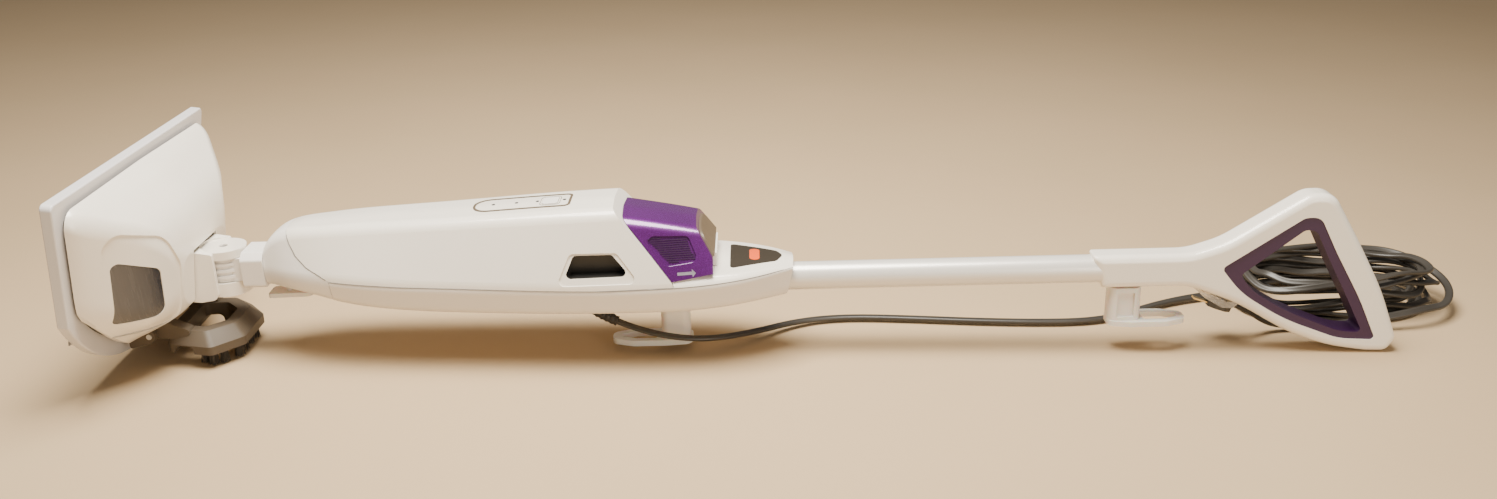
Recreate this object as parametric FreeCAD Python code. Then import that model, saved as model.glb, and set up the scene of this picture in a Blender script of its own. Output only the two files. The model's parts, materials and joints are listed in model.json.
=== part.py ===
import FreeCAD, Part

import functools
import math
import os

from FreeCAD import Placement, Rotation, Vector

# An upright steam mop lying on its back, in millimetres and degrees.
# +X runs from the mop head to the handle, +Y across it, +Z up, and Z = 0 is the surface it lies on.
# The body, tube and handle are drawn in the mop's own frame (u, v, w): u along the tube towards the
# handle, v across, w towards the mop's front, with w = 0 on the tube's axis plane.
# The head is drawn in a frame of its own (n, v, a): n up from the sole, a from its rear edge forwards.

CENTRE_SHIFT = -12.5        # puts the origin under the middle of the object's length
MOP_HEIGHT = 69.5           # height of the mop frame's origin above the surface
MOP_TILT = 1.5              # the handle end lies higher
HEAD_TILT = 6.8             # the sole leans towards the handle at its front edge
HEAD_X = -575.9
HEAD_Z = 9.5

WALL = 2.5                  # wall of the body mouldings
SEAM_GAP = 0.4              # visible joint line between mouldings
FIT = 0.4                   # clearance between pieces that move past each other
PIN_CLEARANCE = 0.05        # radial running clearance of a hinge pin

TUBE_RADIUS = 13.0
TUBE_WALL = 1.3
TUBE_AXIS_W = 1.0
TUBE_START = 6.0
TUBE_END = 392.0

PITCH_U = -517.0            # foot hinge, in the mop frame
PITCH_W = 20.0
SWIVEL_U = -478.0           # neck swivel, in the mop frame
NECK_HALF = 25.0
PIN_RADIUS = 4.0

HEAD_WIDTH = 305.0
HEAD_DEPTH = 184.0
REAR_RADIUS = 168.0         # the sole's rear edge is one large arc
STRIP_POCKET = 1.6          # depth of the pockets of the hook strips in the sole
PLATE_THICKNESS = 10.0

HOOK_U = 346.0              # post of the upper cord hook
CORD_RADIUS = 3.8
HANDLE_HALF = 13.5
HANDLE_ROUND = 7.0

MOP = Placement(Vector(CENTRE_SHIFT, 0, MOP_HEIGHT), Rotation(Vector(0, 1, 0), -MOP_TILT))
HEAD = Placement(Vector(HEAD_X + CENTRE_SHIFT, 0, HEAD_Z), Rotation(Vector(0, 1, 0), HEAD_TILT))
SCRUB_FRAME = Placement(Vector(CENTRE_SHIFT, 0, 0), Rotation())
PLUG_PLACE = Placement(Vector(446 + CENTRE_SHIFT, 22.1, 38), Rotation(0, 18, 0))

# Body stations: u, half width at the seam, seam height, top, bottom, half width of the flat top.
POD = [
    (-437.0, 20.5, 25.0, 46.5, 5.0, 15.0),
    (-430.0, 24.0, 25.0, 55.5, 4.5, 16.5),
    (-418.0, 31.5, 25.0, 63.5, 3.5, 19.5),
    (-403.0, 38.5, 24.5, 67.0, 1.5, 23.0),
    (-371.0, 46.5, 23.0, 69.5, -6.0, 27.0),
    (-307.0, 51.5, 18.5, 73.0, -15.5, 30.0),
    (-218.0, 54.5, 15.0, 77.5, -20.0, 33.0),
    (-130.0, 56.0, 12.0, 81.5, -22.0, 35.0),
    (-50.0, 56.0, 13.0, 84.0, -22.0, 36.0),
]

# Deck stations behind the tank: u, half width at the seam, seam height, top, bottom.
DECK = [
    (-140.0, 56.0, 12.0, 25.0, -22.0),
    (-86.0, 56.0, 12.4, 25.0, -22.0),
    (-42.0, 54.0, 14.0, 25.0, -21.0),
    (2.0, 42.0, 15.6, 24.0, -18.5),
    (28.0, 28.0, 16.4, 22.5, -17.0),
    (42.0, 19.0, 16.4, 20.5, -16.0),
]

# Tank stations: u, half width, seam height, top, half width of the flat top.
TANK = [
    (-135.0, 56.0, 12.0, 78.0, 34.0),
    (-112.0, 56.0, 12.3, 74.0, 33.0),
    (-46.0, 54.5, 14.0, 62.0, 30.0),
    (-20.0, 53.5, 15.0, 56.0, 28.0),
]

LIP_TOP = (-120.0, 84.0)    # slanted joint between the front cover and the tank, seen from the side
LIP_FOOT = (-66.5, 17.0)

# Openings and fittings of the body, in the mop frame.
PANEL_OUTLINE = [(-246, -17), (-157, -17), (-157, 17), (-246, 17)]
PANEL_RADII = [15, 6, 6, 15]
BUTTON_OUTLINE = [(-183, -9), (-169, -9), (-169, 9), (-183, 9)]
LED_PLACES = (-228, -207, -188, -163.5)
VENT_OUTLINE = [(-162, 23), (-103, 24), (-119, 43), (-153, 43)]
VENT_SURROUND = [(-169, 17.5), (-95, 18), (-115, 45), (-156, 45)]
CAP_W = 41.5                # axis height of the tank's filler cap and its socket
CAP_RADIUS = 15.0
BADGE_OUTLINE = [(-16, -31), (26, -13), (32, 0), (26, 13), (-16, 31)]
BADGE_RADII = [3, 8, 10, 8, 3]
GLAND_U = -141.0
GLAND_V = -11.0
LATCH_U = -424.0

# Hook strips let into the sole: one corner and the opposite one, as v and a.
STRIP_PLACES = [
    ((-131, 128), (-59, 148)), ((-36, 128), (36, 148)), ((59, 128), (131, 148)),
    ((-121, 48), (-69, 66)), ((-26, 48), (26, 66)), ((69, 48), (121, 66)),
]

# Cheek of the foot: its shallow recess and the window inside it, as v and a on the left side.
CHEEK_OUTLINE = [(-121, 152), (-66, 134), (-52, 104), (-52, 46), (-116, 48)]
CHEEK_RADII = [12, 26, 24, 8, 8]
CHEEK_DEPTH = 1.3
WINDOW_OUTLINE = [(-113, 124), (-73, 106), (-69, 62), (-107, 64)]

# Foot cover levels: n, front middle, front corner (v, a), side (v, a), rear corner (v, a).
COVER_LEVELS = [
    (13.0, 176.0, 142.0, 174.0, 128.0, 66.0, 84.0, 20.0),
    (21.0, 173.0, 138.0, 170.0, 123.0, 64.0, 80.0, 24.0),
    (30.0, 169.0, 126.0, 163.0, 114.0, 62.0, 74.0, 30.0),
    (42.0, 159.0, 106.0, 154.0, 102.0, 60.0, 66.0, 37.0),
    (55.0, 146.0, 84.0, 141.0, 85.0, 61.0, 60.0, 45.0),
    (64.0, 131.0, 65.0, 124.0, 66.0, 66.0, 52.0, 52.0),
    (69.0, 113.0, 49.0, 104.0, 51.0, 74.0, 42.0, 58.0),
]

# Flip-out scrubber, in the object's frame before the centre shift.
SCRUB_X = -537.0            # its hinge
SCRUB_Z = 32.0
SCRUB_LOW = 14.0
SCRUB_SHOULDER = 22.0
SCRUB_TOP = 33.0

# Handle and the opening in its loop, seen from the side.
HANDLE_OUTLINE = [
    (313, 16.5), (402, 16.5), (432, 26), (503, 71), (525, 71), (551, 28),
    (580, -23), (600, -72), (592, -85.04), (572, -84.52), (538, -79), (498, -64),
    (448, -33), (402, -15), (323, -15),
]
HANDLE_RADII = [2, 60, 80, 22, 22, 260, 300, 10, 10, 60, 200, 200, 200, 60, 3]
LOOP_OUTLINE = [
    (430, 3.0), (500, 50), (514, 50), (532, 16), (560, -32), (579, -72), (545, -70), (492, -49),
    (450, -22),
]
LOOP_RADII = [4, 12, 12, 200, 300, 3, 60, 200, 200]

# Route of the lead from the gland to the coil, before the centre shift.
LEAD_ROUTE = [
    (-140.5, -11.0, 42.0), (-131.0, -12.0, 36.0), (-109.0, -18.0, 28.5), (-82.0, -23.0, 22.5),
    (-52.0, -23.0, 18.0), (-24.0, -11.0, 14.0), (8.0, 14.0, 9.0), (38.0, 40.0, 5.5), (70.0, 55.0, 4.0),
    (109.0, 59.0, 4.0), (166.0, 55.0, 4.0), (223.0, 49.5, 4.0), (280.0, 47.0, 4.0), (328.0, 49.0, 4.0),
    (366.0, 62.0, 4.0), (398.0, 84.0, 4.0), (434.0, 101.0, 4.5), (471.0, 109.0, 8.0),
]
COIL_BOX = (468.0, 708.0, 26.0, 186.0)
COIL_TOP = 44.0
# Route of the plug's tail from the plug back to the coil.
TAIL_ROUTE = [
    (457.4, 22.1, 34.3), (473.0, 24.0, 27.5), (487.0, 29.0, 16.0), (503.0, 34.0, 7.5), (522.0, 36.0, 5.0),
]


def turn_radius(before, corner, after, share=0.45):
    """Largest arc radius that uses `share` of the shorter of the two runs at a corner."""
    back = before.sub(corner)
    ahead = after.sub(corner)
    turn = math.pi - back.getAngle(ahead)
    return share * min(back.Length, ahead.Length) / math.tan(turn / 2)


def corner_arc(before, corner, after, radius):
    """Start, middle and end of the tangent arc that rounds one corner."""
    back = before.sub(corner)
    ahead = after.sub(corner)
    turn = math.pi - back.getAngle(ahead)
    radius = min(radius, turn_radius(before, corner, after, 0.49))
    back.normalize()
    ahead.normalize()
    reach = radius * math.tan(turn / 2)
    bisector = back.add(ahead)
    bisector.normalize()
    centre = corner.add(bisector * (radius / math.cos(turn / 2)))
    middle = centre.sub(bisector * radius)
    return corner.add(back * reach), middle, corner.add(ahead * reach)


def rounded_loop(points, radii):
    """Closed wire of straight runs with every corner rounded."""
    count = len(points)
    arcs = []
    for i in range(count):
        arcs.append(corner_arc(points[i - 1], points[i], points[(i + 1) % count], radii[i]))
    edges = []
    for i in range(count):
        start, middle, end = arcs[i]
        edges.append(Part.Arc(start, middle, end).toShape())
        edges.append(Part.LineSegment(end, arcs[(i + 1) % count][0]).toShape())
    return Part.Wire(edges)


def rounded_path(points, radii):
    """Open wire of straight runs with every inner corner rounded."""
    edges = []
    here = points[0]
    for i in range(1, len(points) - 1):
        start, middle, end = corner_arc(points[i - 1], points[i], points[i + 1], radii[i - 1])
        edges.append(Part.LineSegment(here, start).toShape())
        edges.append(Part.Arc(start, middle, end).toShape())
        here = end
    edges.append(Part.LineSegment(here, points[-1]).toShape())
    return Part.Wire(edges)


def box(low, high):
    """Box between two corners."""
    return Part.makeBox(high[0] - low[0], high[1] - low[1], high[2] - low[2], Vector(*low))


def rod(start, end, radius):
    """Round bar between two points."""
    start = Vector(*start)
    axis = Vector(*end).sub(start)
    return Part.makeCylinder(radius, axis.Length, start, axis)


def side_prism(outline, radii, half_low, half_high):
    """Solid whose outline is drawn in the u-w plane and which spans v from low to high."""
    points = [Vector(u, half_low, w) for u, w in outline]
    face = Part.Face(rounded_loop(points, radii))
    return face.extrude(Vector(0, half_high - half_low, 0))


def side_polygon(outline, v_low, v_high):
    """Sharp-cornered solid drawn in the u-w plane."""
    points = [Vector(u, v_low, w) for u, w in outline]
    face = Part.Face(Part.makePolygon(points + points[:1]))
    return face.extrude(Vector(0, v_high - v_low, 0))


def plan_prism(outline, radii, low, high):
    """Solid whose outline is drawn across the first two axes and which spans the third."""
    points = [Vector(p, q, low) for p, q in outline]
    face = Part.Face(rounded_loop(points, radii))
    return face.extrude(Vector(0, 0, high - low))


def plan_ring(outline, radii, hole, hole_radii, low, high):
    """Flat plate with a hole, both drawn across the first two axes."""
    plate = plan_prism(outline, radii, low, high)
    return plate.cut(plan_prism(hole, hole_radii, low - 1, high + 1))


def pod_wire(u, half, seam, top, bottom, flat, inset):
    """Body cross-section: a flat-topped dome above the seam, a shallow bowl below it."""
    half = half - inset
    top = top - inset
    bottom = bottom + inset
    flat = flat - 0.8 * inset
    right = [(0, top), (flat, top - 1.4), (half, seam), (0.84 * half, bottom + 8), (0, bottom)]
    left = [(-v, w) for v, w in reversed(right[1:4])]
    points = [Vector(u, v, w) for v, w in right + left]
    radii = [120, 13, 22, 17, 150, 17, 22, 13]
    return rounded_loop(points, radii)


def deck_wire(u, half, seam, top, bottom, inset):
    """Cross-section of the low deck behind the tank."""
    half = half - inset
    top = top - inset
    bottom = bottom + inset
    shoulder = 0.86 * half
    side = (half, seam - 0.3 * inset)
    right = [(0, top), (shoulder, top - 3.6), side, (0.84 * half, bottom + 8), (0, bottom)]
    left = [(-v, w) for v, w in reversed(right[1:4])]
    points = [Vector(u, v, w) for v, w in right + left]
    radii = [150, 6, 14, 15, 120, 15, 14, 6]
    return rounded_loop(points, radii)


def tank_wire(u, half, seam, top, flat, inset):
    """Tank cross-section, closed by a plain floor below the seam."""
    half = half - inset
    top = top - inset
    flat = flat - 0.8 * inset
    right = [(0, top), (flat, top - 1.6), (half, seam), (0.9 * half, seam - 6)]
    left = [(-v, w) for v, w in reversed(right[1:])]
    points = [Vector(u, v, w) for v, w in right + left]
    radii = [120, 14, 8, 4, 4, 8, 14]
    return rounded_loop(points, radii)


@functools.cache
def pod(inset):
    """Full body solid, shrunk by an inset."""
    return Part.makeLoft([pod_wire(*row, inset) for row in POD], True)


@functools.cache
def deck(inset):
    """Full deck solid, shrunk by an inset."""
    return Part.makeLoft([deck_wire(*row, inset) for row in DECK], True)


def behind_lip(offset):
    """Everything on the head side of the slanted tank joint, moved by an offset along u."""
    return side_polygon(
        [
            (-600, -120),
            (LIP_FOOT[0] + offset + 30, -120),
            (LIP_FOOT[0] + offset, LIP_FOOT[1]),
            (LIP_TOP[0] + offset, LIP_TOP[1]),
            (LIP_TOP[0] + offset - 12, 120),
            (-600, 120),
        ],
        -80,
        80,
    )


def tail_slant(extra):
    """Cutter that slants the tail's end face around the tube."""
    return side_polygon(
        [(43.5 - extra, 30), (30.5 - extra, -30), (90, -30), (90, 30)],
        -40,
        40,
    )


@functools.cache
def keel(inset):
    """Bowl that runs under the whole length of body and tail, shrunk by an inset."""
    rows = [(row[0], row[1], row[2], row[2] + 11, row[4]) for row in POD[4:8]] + DECK[1:]
    return Part.makeLoft([deck_wire(*row, inset) for row in rows], True)


def hollow(outer, inner):
    """Shell between two solids."""
    return outer.cut(inner)


def seam_line(gap):
    """Points of the joint line between front cover and rear shell, raised by a gap."""
    return [(row[0], row[2] + gap) for row in POD[4:8]] + [(row[0], row[2] + gap) for row in DECK[2:]]


def cover_region():
    """Side-view region that belongs to the front cover."""
    seam = seam_line(SEAM_GAP)
    cap_curve = [(-418, 120), (-413, 66), (-408, 54), (-402, 44), (-392, 35), (-380, 29)]
    return side_polygon(cap_curve + seam + [(90, 16.8), (90, 120)], -80, 80)


def rear_region():
    """Side-view region that belongs to the rear shell."""
    seam = seam_line(0)
    return side_polygon([(-371, -60)] + seam + [(90, 16.4), (90, -60)], -80, 80)


def cap_region():
    """Side-view region that belongs to the lower end cap."""
    curve = [(-418.4, 120), (-413.4, 66), (-408.4, 54), (-402.4, 44), (-392.4, 35), (-380.4, 28.7)]
    return side_polygon([(-460, 120)] + curve + [(-371.4, 23), (-371.4, -60), (-460, -60)], -80, 80)


def export(name, shape, frame=None):
    """Place a finished piece in the object's frame and write it."""
    placed = shape.copy()
    if frame is not None:
        placed.Placement = frame.multiply(placed.Placement)
    placed.exportStep("parts/" + name + ".step")
    return placed


# ---------------------------------------------------------------- body mouldings

def grown(outline, amount):
    """Outline moved outwards from its centre by about an amount."""
    cx = sum(p for p, q in outline) / len(outline)
    cy = sum(q for p, q in outline) / len(outline)
    result = []
    for p, q in outline:
        result.append((p + amount * math.copysign(1, p - cx), q + amount * math.copysign(1, q - cy)))
    return result


def skin(outline, radii, outer_inset, inner_inset):
    """Thin plate that follows the top of the body between two insets, within a plan outline."""
    block = plan_prism(outline, radii, 40, 100)
    return block.common(pod(outer_inset)).cut(pod(inner_inset))


def front_cover():
    """Glossy front moulding with its bulkhead behind the tank."""
    outer = pod(0).common(behind_lip(0))
    inner = pod(WALL).common(behind_lip(-4.0))
    cover = hollow(outer, inner).common(cover_region())
    cover = cover.cut(side_polygon([(-140, -60), (-60, -60), (-60, 13.6), (-140, 12.6)], -80, 80))
    cover = cover.cut(skin(PANEL_OUTLINE, PANEL_RADII, -2, 1.2))
    cover = cover.cut(plan_prism(grown(BUTTON_OUTLINE, FIT), [3, 3, 3, 3], 50, 100))
    for u in LED_PLACES:
        cover = cover.cut(rod((u, 0, 60), (u, 0, 90), 1.9))
    cover = cover.cut(side_prism(VENT_SURROUND, [5, 5, 5, 5], -80, 80).cut(pod(1.3)))
    cover = cover.cut(side_prism(VENT_OUTLINE, [4, 4, 4, 4], -80, 80))
    cover = cover.cut(rod((-110, 0, CAP_W), (-60, 0, CAP_W), CAP_RADIUS + 1.5))
    return cover


def rear_shell():
    """Rear moulding: tray, tail collar, cord outlet and lower hook socket."""
    shell = hollow(keel(0), keel(WALL)).common(rear_region()).cut(tail_slant(0))
    collar = rod((8, 0, TUBE_AXIS_W), (60, 0, TUBE_AXIS_W), 15.6).common(keel(1)).cut(tail_slant(0))
    shell = shell.fuse(collar.common(rear_region()))
    shell = shell.cut(rod((0, 0, TUBE_AXIS_W), (70, 0, TUBE_AXIS_W), TUBE_RADIUS))
    shell = shell.cut(rod((GLAND_U, GLAND_V, -30), (GLAND_U, GLAND_V, -10), 4.5))
    return shell


def deck_cover():
    """Low deck that the tank sits on, with the pocket of the badge."""
    outer = deck(0).cut(behind_lip(0.5))
    inner = deck(WALL).cut(behind_lip(3))
    shell = hollow(outer, inner).common(cover_region()).cut(tail_slant(0))
    shell = shell.cut(rod((0, 0, TUBE_AXIS_W), (70, 0, TUBE_AXIS_W), TUBE_RADIUS + 0.3))
    pocket = plan_prism(BADGE_OUTLINE, BADGE_RADII, 10, 40).cut(deck(1.2))
    return shell.cut(pocket)


def badge_plate():
    """Dark plate let into the deck."""
    return plan_prism(BADGE_OUTLINE, BADGE_RADII, 10, 40).common(deck(-0.2)).cut(deck(1.2))


def lower_end_cap():
    """Rounded moulding that closes the head end and takes the neck link."""
    outer = pod(0)
    inner = pod(3.0).common(box((-431, -80, -60), (-300, 80, 100)))
    cap = hollow(outer, inner).common(cap_region())
    cap = cap.cut(rod((-440, 0, 25), (-420, 0, 25), 8.0 + PIN_CLEARANCE))
    return cap.cut(rod((LATCH_U, 0, 0), (LATCH_U, 0, 12), 3.4))


def release_latch():
    """Tongue under the end cap that frees the neck when it is pressed."""
    outline = [(-441, -10), (-401, -8), (-401, 8), (-441, 10)]
    plate = plan_prism(outline, [3, 7, 7, 3], -4.9, -0.9)
    stem = rod((LATCH_U, 0, -1.5), (LATCH_U, 0, 9), 3.0)
    dimple = rod((LATCH_U, 0, -6), (LATCH_U, 0, -4.4), 4.5)
    return plate.fuse(stem).cut(dimple)


def control_panel():
    """White control panel inside its taupe bezel."""
    panel = skin(grown(PANEL_OUTLINE, -2.2), [13, 4, 4, 13], 0.0, 1.2)
    panel = panel.cut(plan_prism(grown(BUTTON_OUTLINE, FIT), [3, 3, 3, 3], 50, 100))
    for u in LED_PLACES:
        panel = panel.cut(rod((u, 0, 60), (u, 0, 90), 1.6))
    return panel


def panel_bezel():
    """Raised taupe outline of the control panel."""
    outer = skin(PANEL_OUTLINE, PANEL_RADII, -0.6, 1.2)
    return outer.cut(plan_prism(grown(PANEL_OUTLINE, -2.2), [13, 4, 4, 13], 40, 100))


def steam_button():
    """Push button in the panel, on a stem that reaches the board."""
    block = plan_prism(BUTTON_OUTLINE, [3, 3, 3, 3], 66, 100)
    return block.common(pod(-0.5)).fuse(rod((-176, 0, 64.5), (-176, 0, 68), 2.0))


def status_leds():
    """Row of indicator lenses."""
    lenses = []
    for u in LED_PLACES:
        lenses.append(rod((u, 0, 62.4), (u, 0, 90), 1.55).common(pod(-0.3)))
    return Part.makeCompound(lenses)


def side_vent(side):
    """Black tray behind the trapezoid opening in one side of the cover."""
    tray = side_prism(grown(VENT_OUTLINE, 1.6), [4, 4, 4, 4], 34, 70)
    tray = tray.cut(side_prism(VENT_OUTLINE, [4, 4, 4, 4], 36, 80)).common(pod(WALL))
    if side < 0:
        tray = tray.mirror(Vector(0, 0, 0), Vector(0, 1, 0))
    return tray


# ---------------------------------------------------------------- tank

@functools.cache
def tank_solid(inset):
    """Tank block between the slanted joint, the deck and its own end face."""
    block = Part.makeLoft([tank_wire(*row, inset) for row in TANK], True)
    block = block.cut(behind_lip(1.0 + inset))
    profile = [(-62.4, 90), (-46, 62.4), (-30.5, 36), (-30.5, -20), (20, -20), (20, 90)]
    end_face = side_polygon([(u - inset, w) if u < 0 else (u, w) for u, w in profile], -80, 80)
    floor = side_polygon([(-140, -60), (0, -60), (0, 28.5 + inset), (-140, 7.9 + inset)], -80, 80)
    return block.cut(end_face).cut(floor).cut(deck(-0.9 - inset))


def grip_recess(side, extra):
    """Cutter of the ribbed finger recess in one side of the tank."""
    outline = [(-94, 57), (-52, 55), (-43, 34), (-70, 31)]
    cutter = side_prism(grown(outline, extra), [5, 5, 5, 5], 0, 70).cut(
        Part.makeLoft([tank_wire(*row, 1.6) for row in TANK], True)
    )
    if side < 0:
        cutter = cutter.mirror(Vector(0, 0, 0), Vector(0, 1, 0))
    return cutter


def tank_shell():
    """Translucent water tank with a finger recess in each side."""
    shell = hollow(tank_solid(0), tank_solid(3.0))
    for side in (-1, 1):
        shell = shell.cut(grip_recess(side, 0))
    seat = rod((-100, 0, CAP_W), (-78, 0, CAP_W), CAP_RADIUS + 3).common(tank_solid(0))
    shell = shell.fuse(seat).cut(rod((-100, 0, CAP_W), (-84.4, 0, CAP_W), CAP_RADIUS + 0.6))
    shell = shell.cut(rod((-100, 0, CAP_W), (-60, 0, CAP_W), CAP_RADIUS - 3))
    return shell


def tank_end_plate():
    """Taupe plate on the handle side of the tank."""
    plate = side_polygon([(-62.4, 90), (-30.5, 36), (-29.1, 36.8), (-61.0, 90.8)], -80, 80)
    block = Part.makeLoft([tank_wire(*row, 3.5) for row in TANK], True)
    return plate.common(block).cut(tank_solid(0))


def tank_foot():
    """White block under the end plate that steadies the tank on the deck."""
    block = side_polygon([(-30.5, 35.5), (-30.5, 18), (-27.5, 18), (-27.5, 35.5)], -26, 26)
    return block.cut(deck(-0.9))


def tank_cap():
    """Filler cap on the tank's head side; its nose enters the body's socket."""
    nose = rod((-97, 0, CAP_W), (-76, 0, CAP_W), CAP_RADIUS - 3 - PIN_CLEARANCE)
    rim = rod((-88, 0, CAP_W), (-84.8, 0, CAP_W), CAP_RADIUS)
    bore = rod((-100, 0, CAP_W), (-85.5, 0, CAP_W), 4.0)
    return nose.fuse(rim).cut(bore).cut(rod((-90, 0, CAP_W), (-70, 0, CAP_W), 2.6))


def tank_valve():
    """Spring-loaded plunger in the filler cap."""
    return rod((-95.5, 0, CAP_W), (-89, 0, CAP_W), 3.6).fuse(rod((-90, 0, CAP_W), (-74, 0, CAP_W), 2.2))


def tank_socket():
    """Cup in the body that takes the tank's cap and opens its valve."""
    cup = rod((-108, 0, CAP_W), (-92, 0, CAP_W), CAP_RADIUS + 0.5)
    cup = cup.cut(rod((-104, 0, CAP_W), (-80, 0, CAP_W), CAP_RADIUS - 2.6)).common(behind_lip(-0.5))
    pin = rod((-106, 0, CAP_W), (-96, 0, CAP_W), 1.5)
    return cup.fuse(pin).fuse(rod((-100, 0, CAP_W - 13.5), (-100, 0, 12), 3.5))


# ---------------------------------------------------------------- neck

def across_prism(outline, radii, start, end):
    """Solid whose outline is drawn in the v-w plane and which runs along u."""
    points = [Vector(start, v, w) for v, w in outline]
    face = Part.Face(rounded_loop(points, radii))
    return face.extrude(Vector(end - start, 0, 0))


def neck_link():
    """Swivel barrel with its ribs, shank and the stem latched in the end cap."""
    barrel = rod((SWIVEL_U, 0, 14.6), (SWIVEL_U, 0, 36.0), 17.0)
    for w in (18.0, 24.0, 30.0):
        rib = rod((SWIVEL_U, 0, w), (SWIVEL_U, 0, w + 2.6), 18.6)
        barrel = barrel.fuse(rib)
    web = box((SWIVEL_U, -14, 14.6), (-455, 14, 36.0))
    outline = [(-19.5, 9), (19.5, 9), (20.5, 36), (14, 42), (-14, 42), (-20.5, 36)]
    shank = across_prism(outline, [4, 4, 3, 3, 3, 3], -457.4, -437.4)
    stem = rod((-440, 0, 25), (-421, 0, 25), 8.0)
    link = barrel.fuse(web).fuse(shank).fuse(stem)
    link = link.cut(rod((SWIVEL_U, 0, 0), (SWIVEL_U, 0, 60), PIN_RADIUS + PIN_CLEARANCE))
    return link.cut(rod((-455, 0, 25), (-400, 0, 25), 3.0))


def neck_yoke():
    """Pivoting yoke: a barrel on the foot's hinge and two ears round the swivel."""
    barrel = rod((PITCH_U, -NECK_HALF, PITCH_W), (PITCH_U, NECK_HALF, PITCH_W), 21.0)
    outline = [(-519, 44), (-494, 46.5), (-480, 44), (-480, 1.0), (-496, -1.5), (-519, 1.0)]
    body = side_prism(outline, [8, 10, 2, 6, 8, 6], -NECK_HALF, NECK_HALF)
    body = body.cut(rod((SWIVEL_U, 0, -20), (SWIVEL_U, 0, 60), 20.4))
    upper = rod((SWIVEL_U, 0, 36.6), (SWIVEL_U, 0, 44.2), 20.0)
    lower = rod((SWIVEL_U, 0, 1.4), (SWIVEL_U, 0, 14.0), 20.0)
    bridge_up = box((-500, -20, 36.6), (SWIVEL_U, 20, 44.2))
    bridge_low = box((-500, -20, 1.4), (SWIVEL_U, 20, 14.0))
    yoke = barrel.fuse(body).fuse(upper).fuse(lower).fuse(bridge_up).fuse(bridge_low)
    yoke = yoke.cut(rod((SWIVEL_U, 0, 14.0), (SWIVEL_U, 0, 36.6), 20.4))
    yoke = yoke.cut(rod((SWIVEL_U, 0, -20), (SWIVEL_U, 0, 60), PIN_RADIUS))
    yoke = yoke.cut(rod((PITCH_U, -60, PITCH_W), (PITCH_U, 60, PITCH_W), PIN_RADIUS + PIN_CLEARANCE))
    return yoke


def swivel_pin():
    """Upright pin that joins yoke and link."""
    return rod((SWIVEL_U, 0, 3.0), (SWIVEL_U, 0, 43.0), PIN_RADIUS)


# ---------------------------------------------------------------- foot, in the head frame (n, v, a)

def head_point_of(u, w):
    """Head-frame n and a of a point given in the mop frame."""
    world = MOP.multVec(Vector(u, 0, w))
    local = HEAD.inverse().multVec(world)
    return local.x, local.z


PIVOT_N, PIVOT_A = head_point_of(PITCH_U, PITCH_W)


def head_plate(inset, low, high):
    """Slab over the sole outline between two heights above the sole."""
    half = HEAD_WIDTH / 2 - inset
    front = HEAD_DEPTH - inset
    outline = [(-half, front), (-half + 27, -20), (half - 27, -20), (half, front)]
    points = [Vector(low, v, a) for v, a in outline]
    slab = Part.Face(rounded_loop(points, [5, 5, 5, 5])).extrude(Vector(high - low, 0, 0))
    return slab.common(rod((low, 0, REAR_RADIUS), (high, 0, REAR_RADIUS), REAR_RADIUS - inset))


def cover_wire(n, middle, front_v, front_a, side_v, side_a, rear_v, rear_a, inset):
    """Outline of the foot cover at one height above the sole."""
    front = [(0, middle - inset), (front_v - inset, front_a - inset)]
    side = [(side_v - inset, side_a), (rear_v - inset, rear_a + inset)]
    right = front + side
    left = [(-v, a) for v, a in reversed(right[1:])]
    points = [Vector(n, v, a) for v, a in right + left]
    radii = [300, 14, 120, 45, 45, 120, 14]
    return rounded_loop(points, radii)


@functools.cache
def cover_solid(inset):
    """Full foot cover solid, shrunk by an inset."""
    wires = [cover_wire(row[0] - inset, *row[1:], inset) for row in COVER_LEVELS]
    return Part.makeLoft(wires, True)


def neck_channel():
    """Room in the cover for the neck to pitch."""
    half = NECK_HALF + 1.5
    around = rod((PIVOT_N, -half, PIVOT_A), (PIVOT_N, half, PIVOT_A), 30.0)
    slot = box((26, -half, -20), (90, half, PIVOT_A))
    above = box((PIVOT_N, -half, 0), (90, half, PIVOT_A + 33))
    return around.fuse(slot).fuse(above)


def window_block(side, grow):
    """Prism through the foot cover's cheek, square to the sole."""
    points = [Vector(14, v, a) for v, a in grown(WINDOW_OUTLINE, grow)]
    block = Part.Face(rounded_loop(points, [5, 8, 8, 5])).extrude(Vector(60, 0, 0))
    if side > 0:
        block = block.mirror(Vector(0, 0, 0), Vector(0, 1, 0))
    return block


def cheek_recess(side):
    """Shallow flat let into one cheek of the cover, round its window."""
    points = [Vector(10, v, a) for v, a in CHEEK_OUTLINE]
    block = Part.Face(rounded_loop(points, CHEEK_RADII)).extrude(Vector(70, 0, 0))
    if side > 0:
        block = block.mirror(Vector(0, 0, 0), Vector(0, 1, 0))
    return block.cut(cover_solid(CHEEK_DEPTH))


def scrubber_notch(side):
    """Room in the cover's rear edge for one arm of the scrubber, in the head frame."""
    hinge = HEAD.inverse().multVec(Vector(SCRUB_X + CENTRE_SHIFT, 0, SCRUB_Z))
    return rod((hinge.x, side * 27.5, hinge.z), (hinge.x, side * 42.0, hinge.z), 17.0)


def foot_cover():
    """White cover of the foot with its two window openings and the neck's channel."""
    inner = cover_solid(2.5).common(box((0, -200, -50), (66.5, 200, 250)))
    shell = hollow(cover_solid(0), inner)
    lugs = box((14, -64, PIVOT_A - 13), (68, 64, PIVOT_A + 13)).common(cover_solid(1))
    shell = shell.fuse(lugs).cut(neck_channel())
    shell = shell.common(rod((0, 0, REAR_RADIUS), (90, 0, REAR_RADIUS), REAR_RADIUS - 13))
    for side in (-1, 1):
        shell = shell.cut(scrubber_notch(side))
    for side in (-1, 1):
        shell = shell.cut(cheek_recess(side)).cut(window_block(side, 0))
    return shell.cut(rod((PIVOT_N, -60, PIVOT_A), (PIVOT_N, 60, PIVOT_A), PIN_RADIUS))


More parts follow.
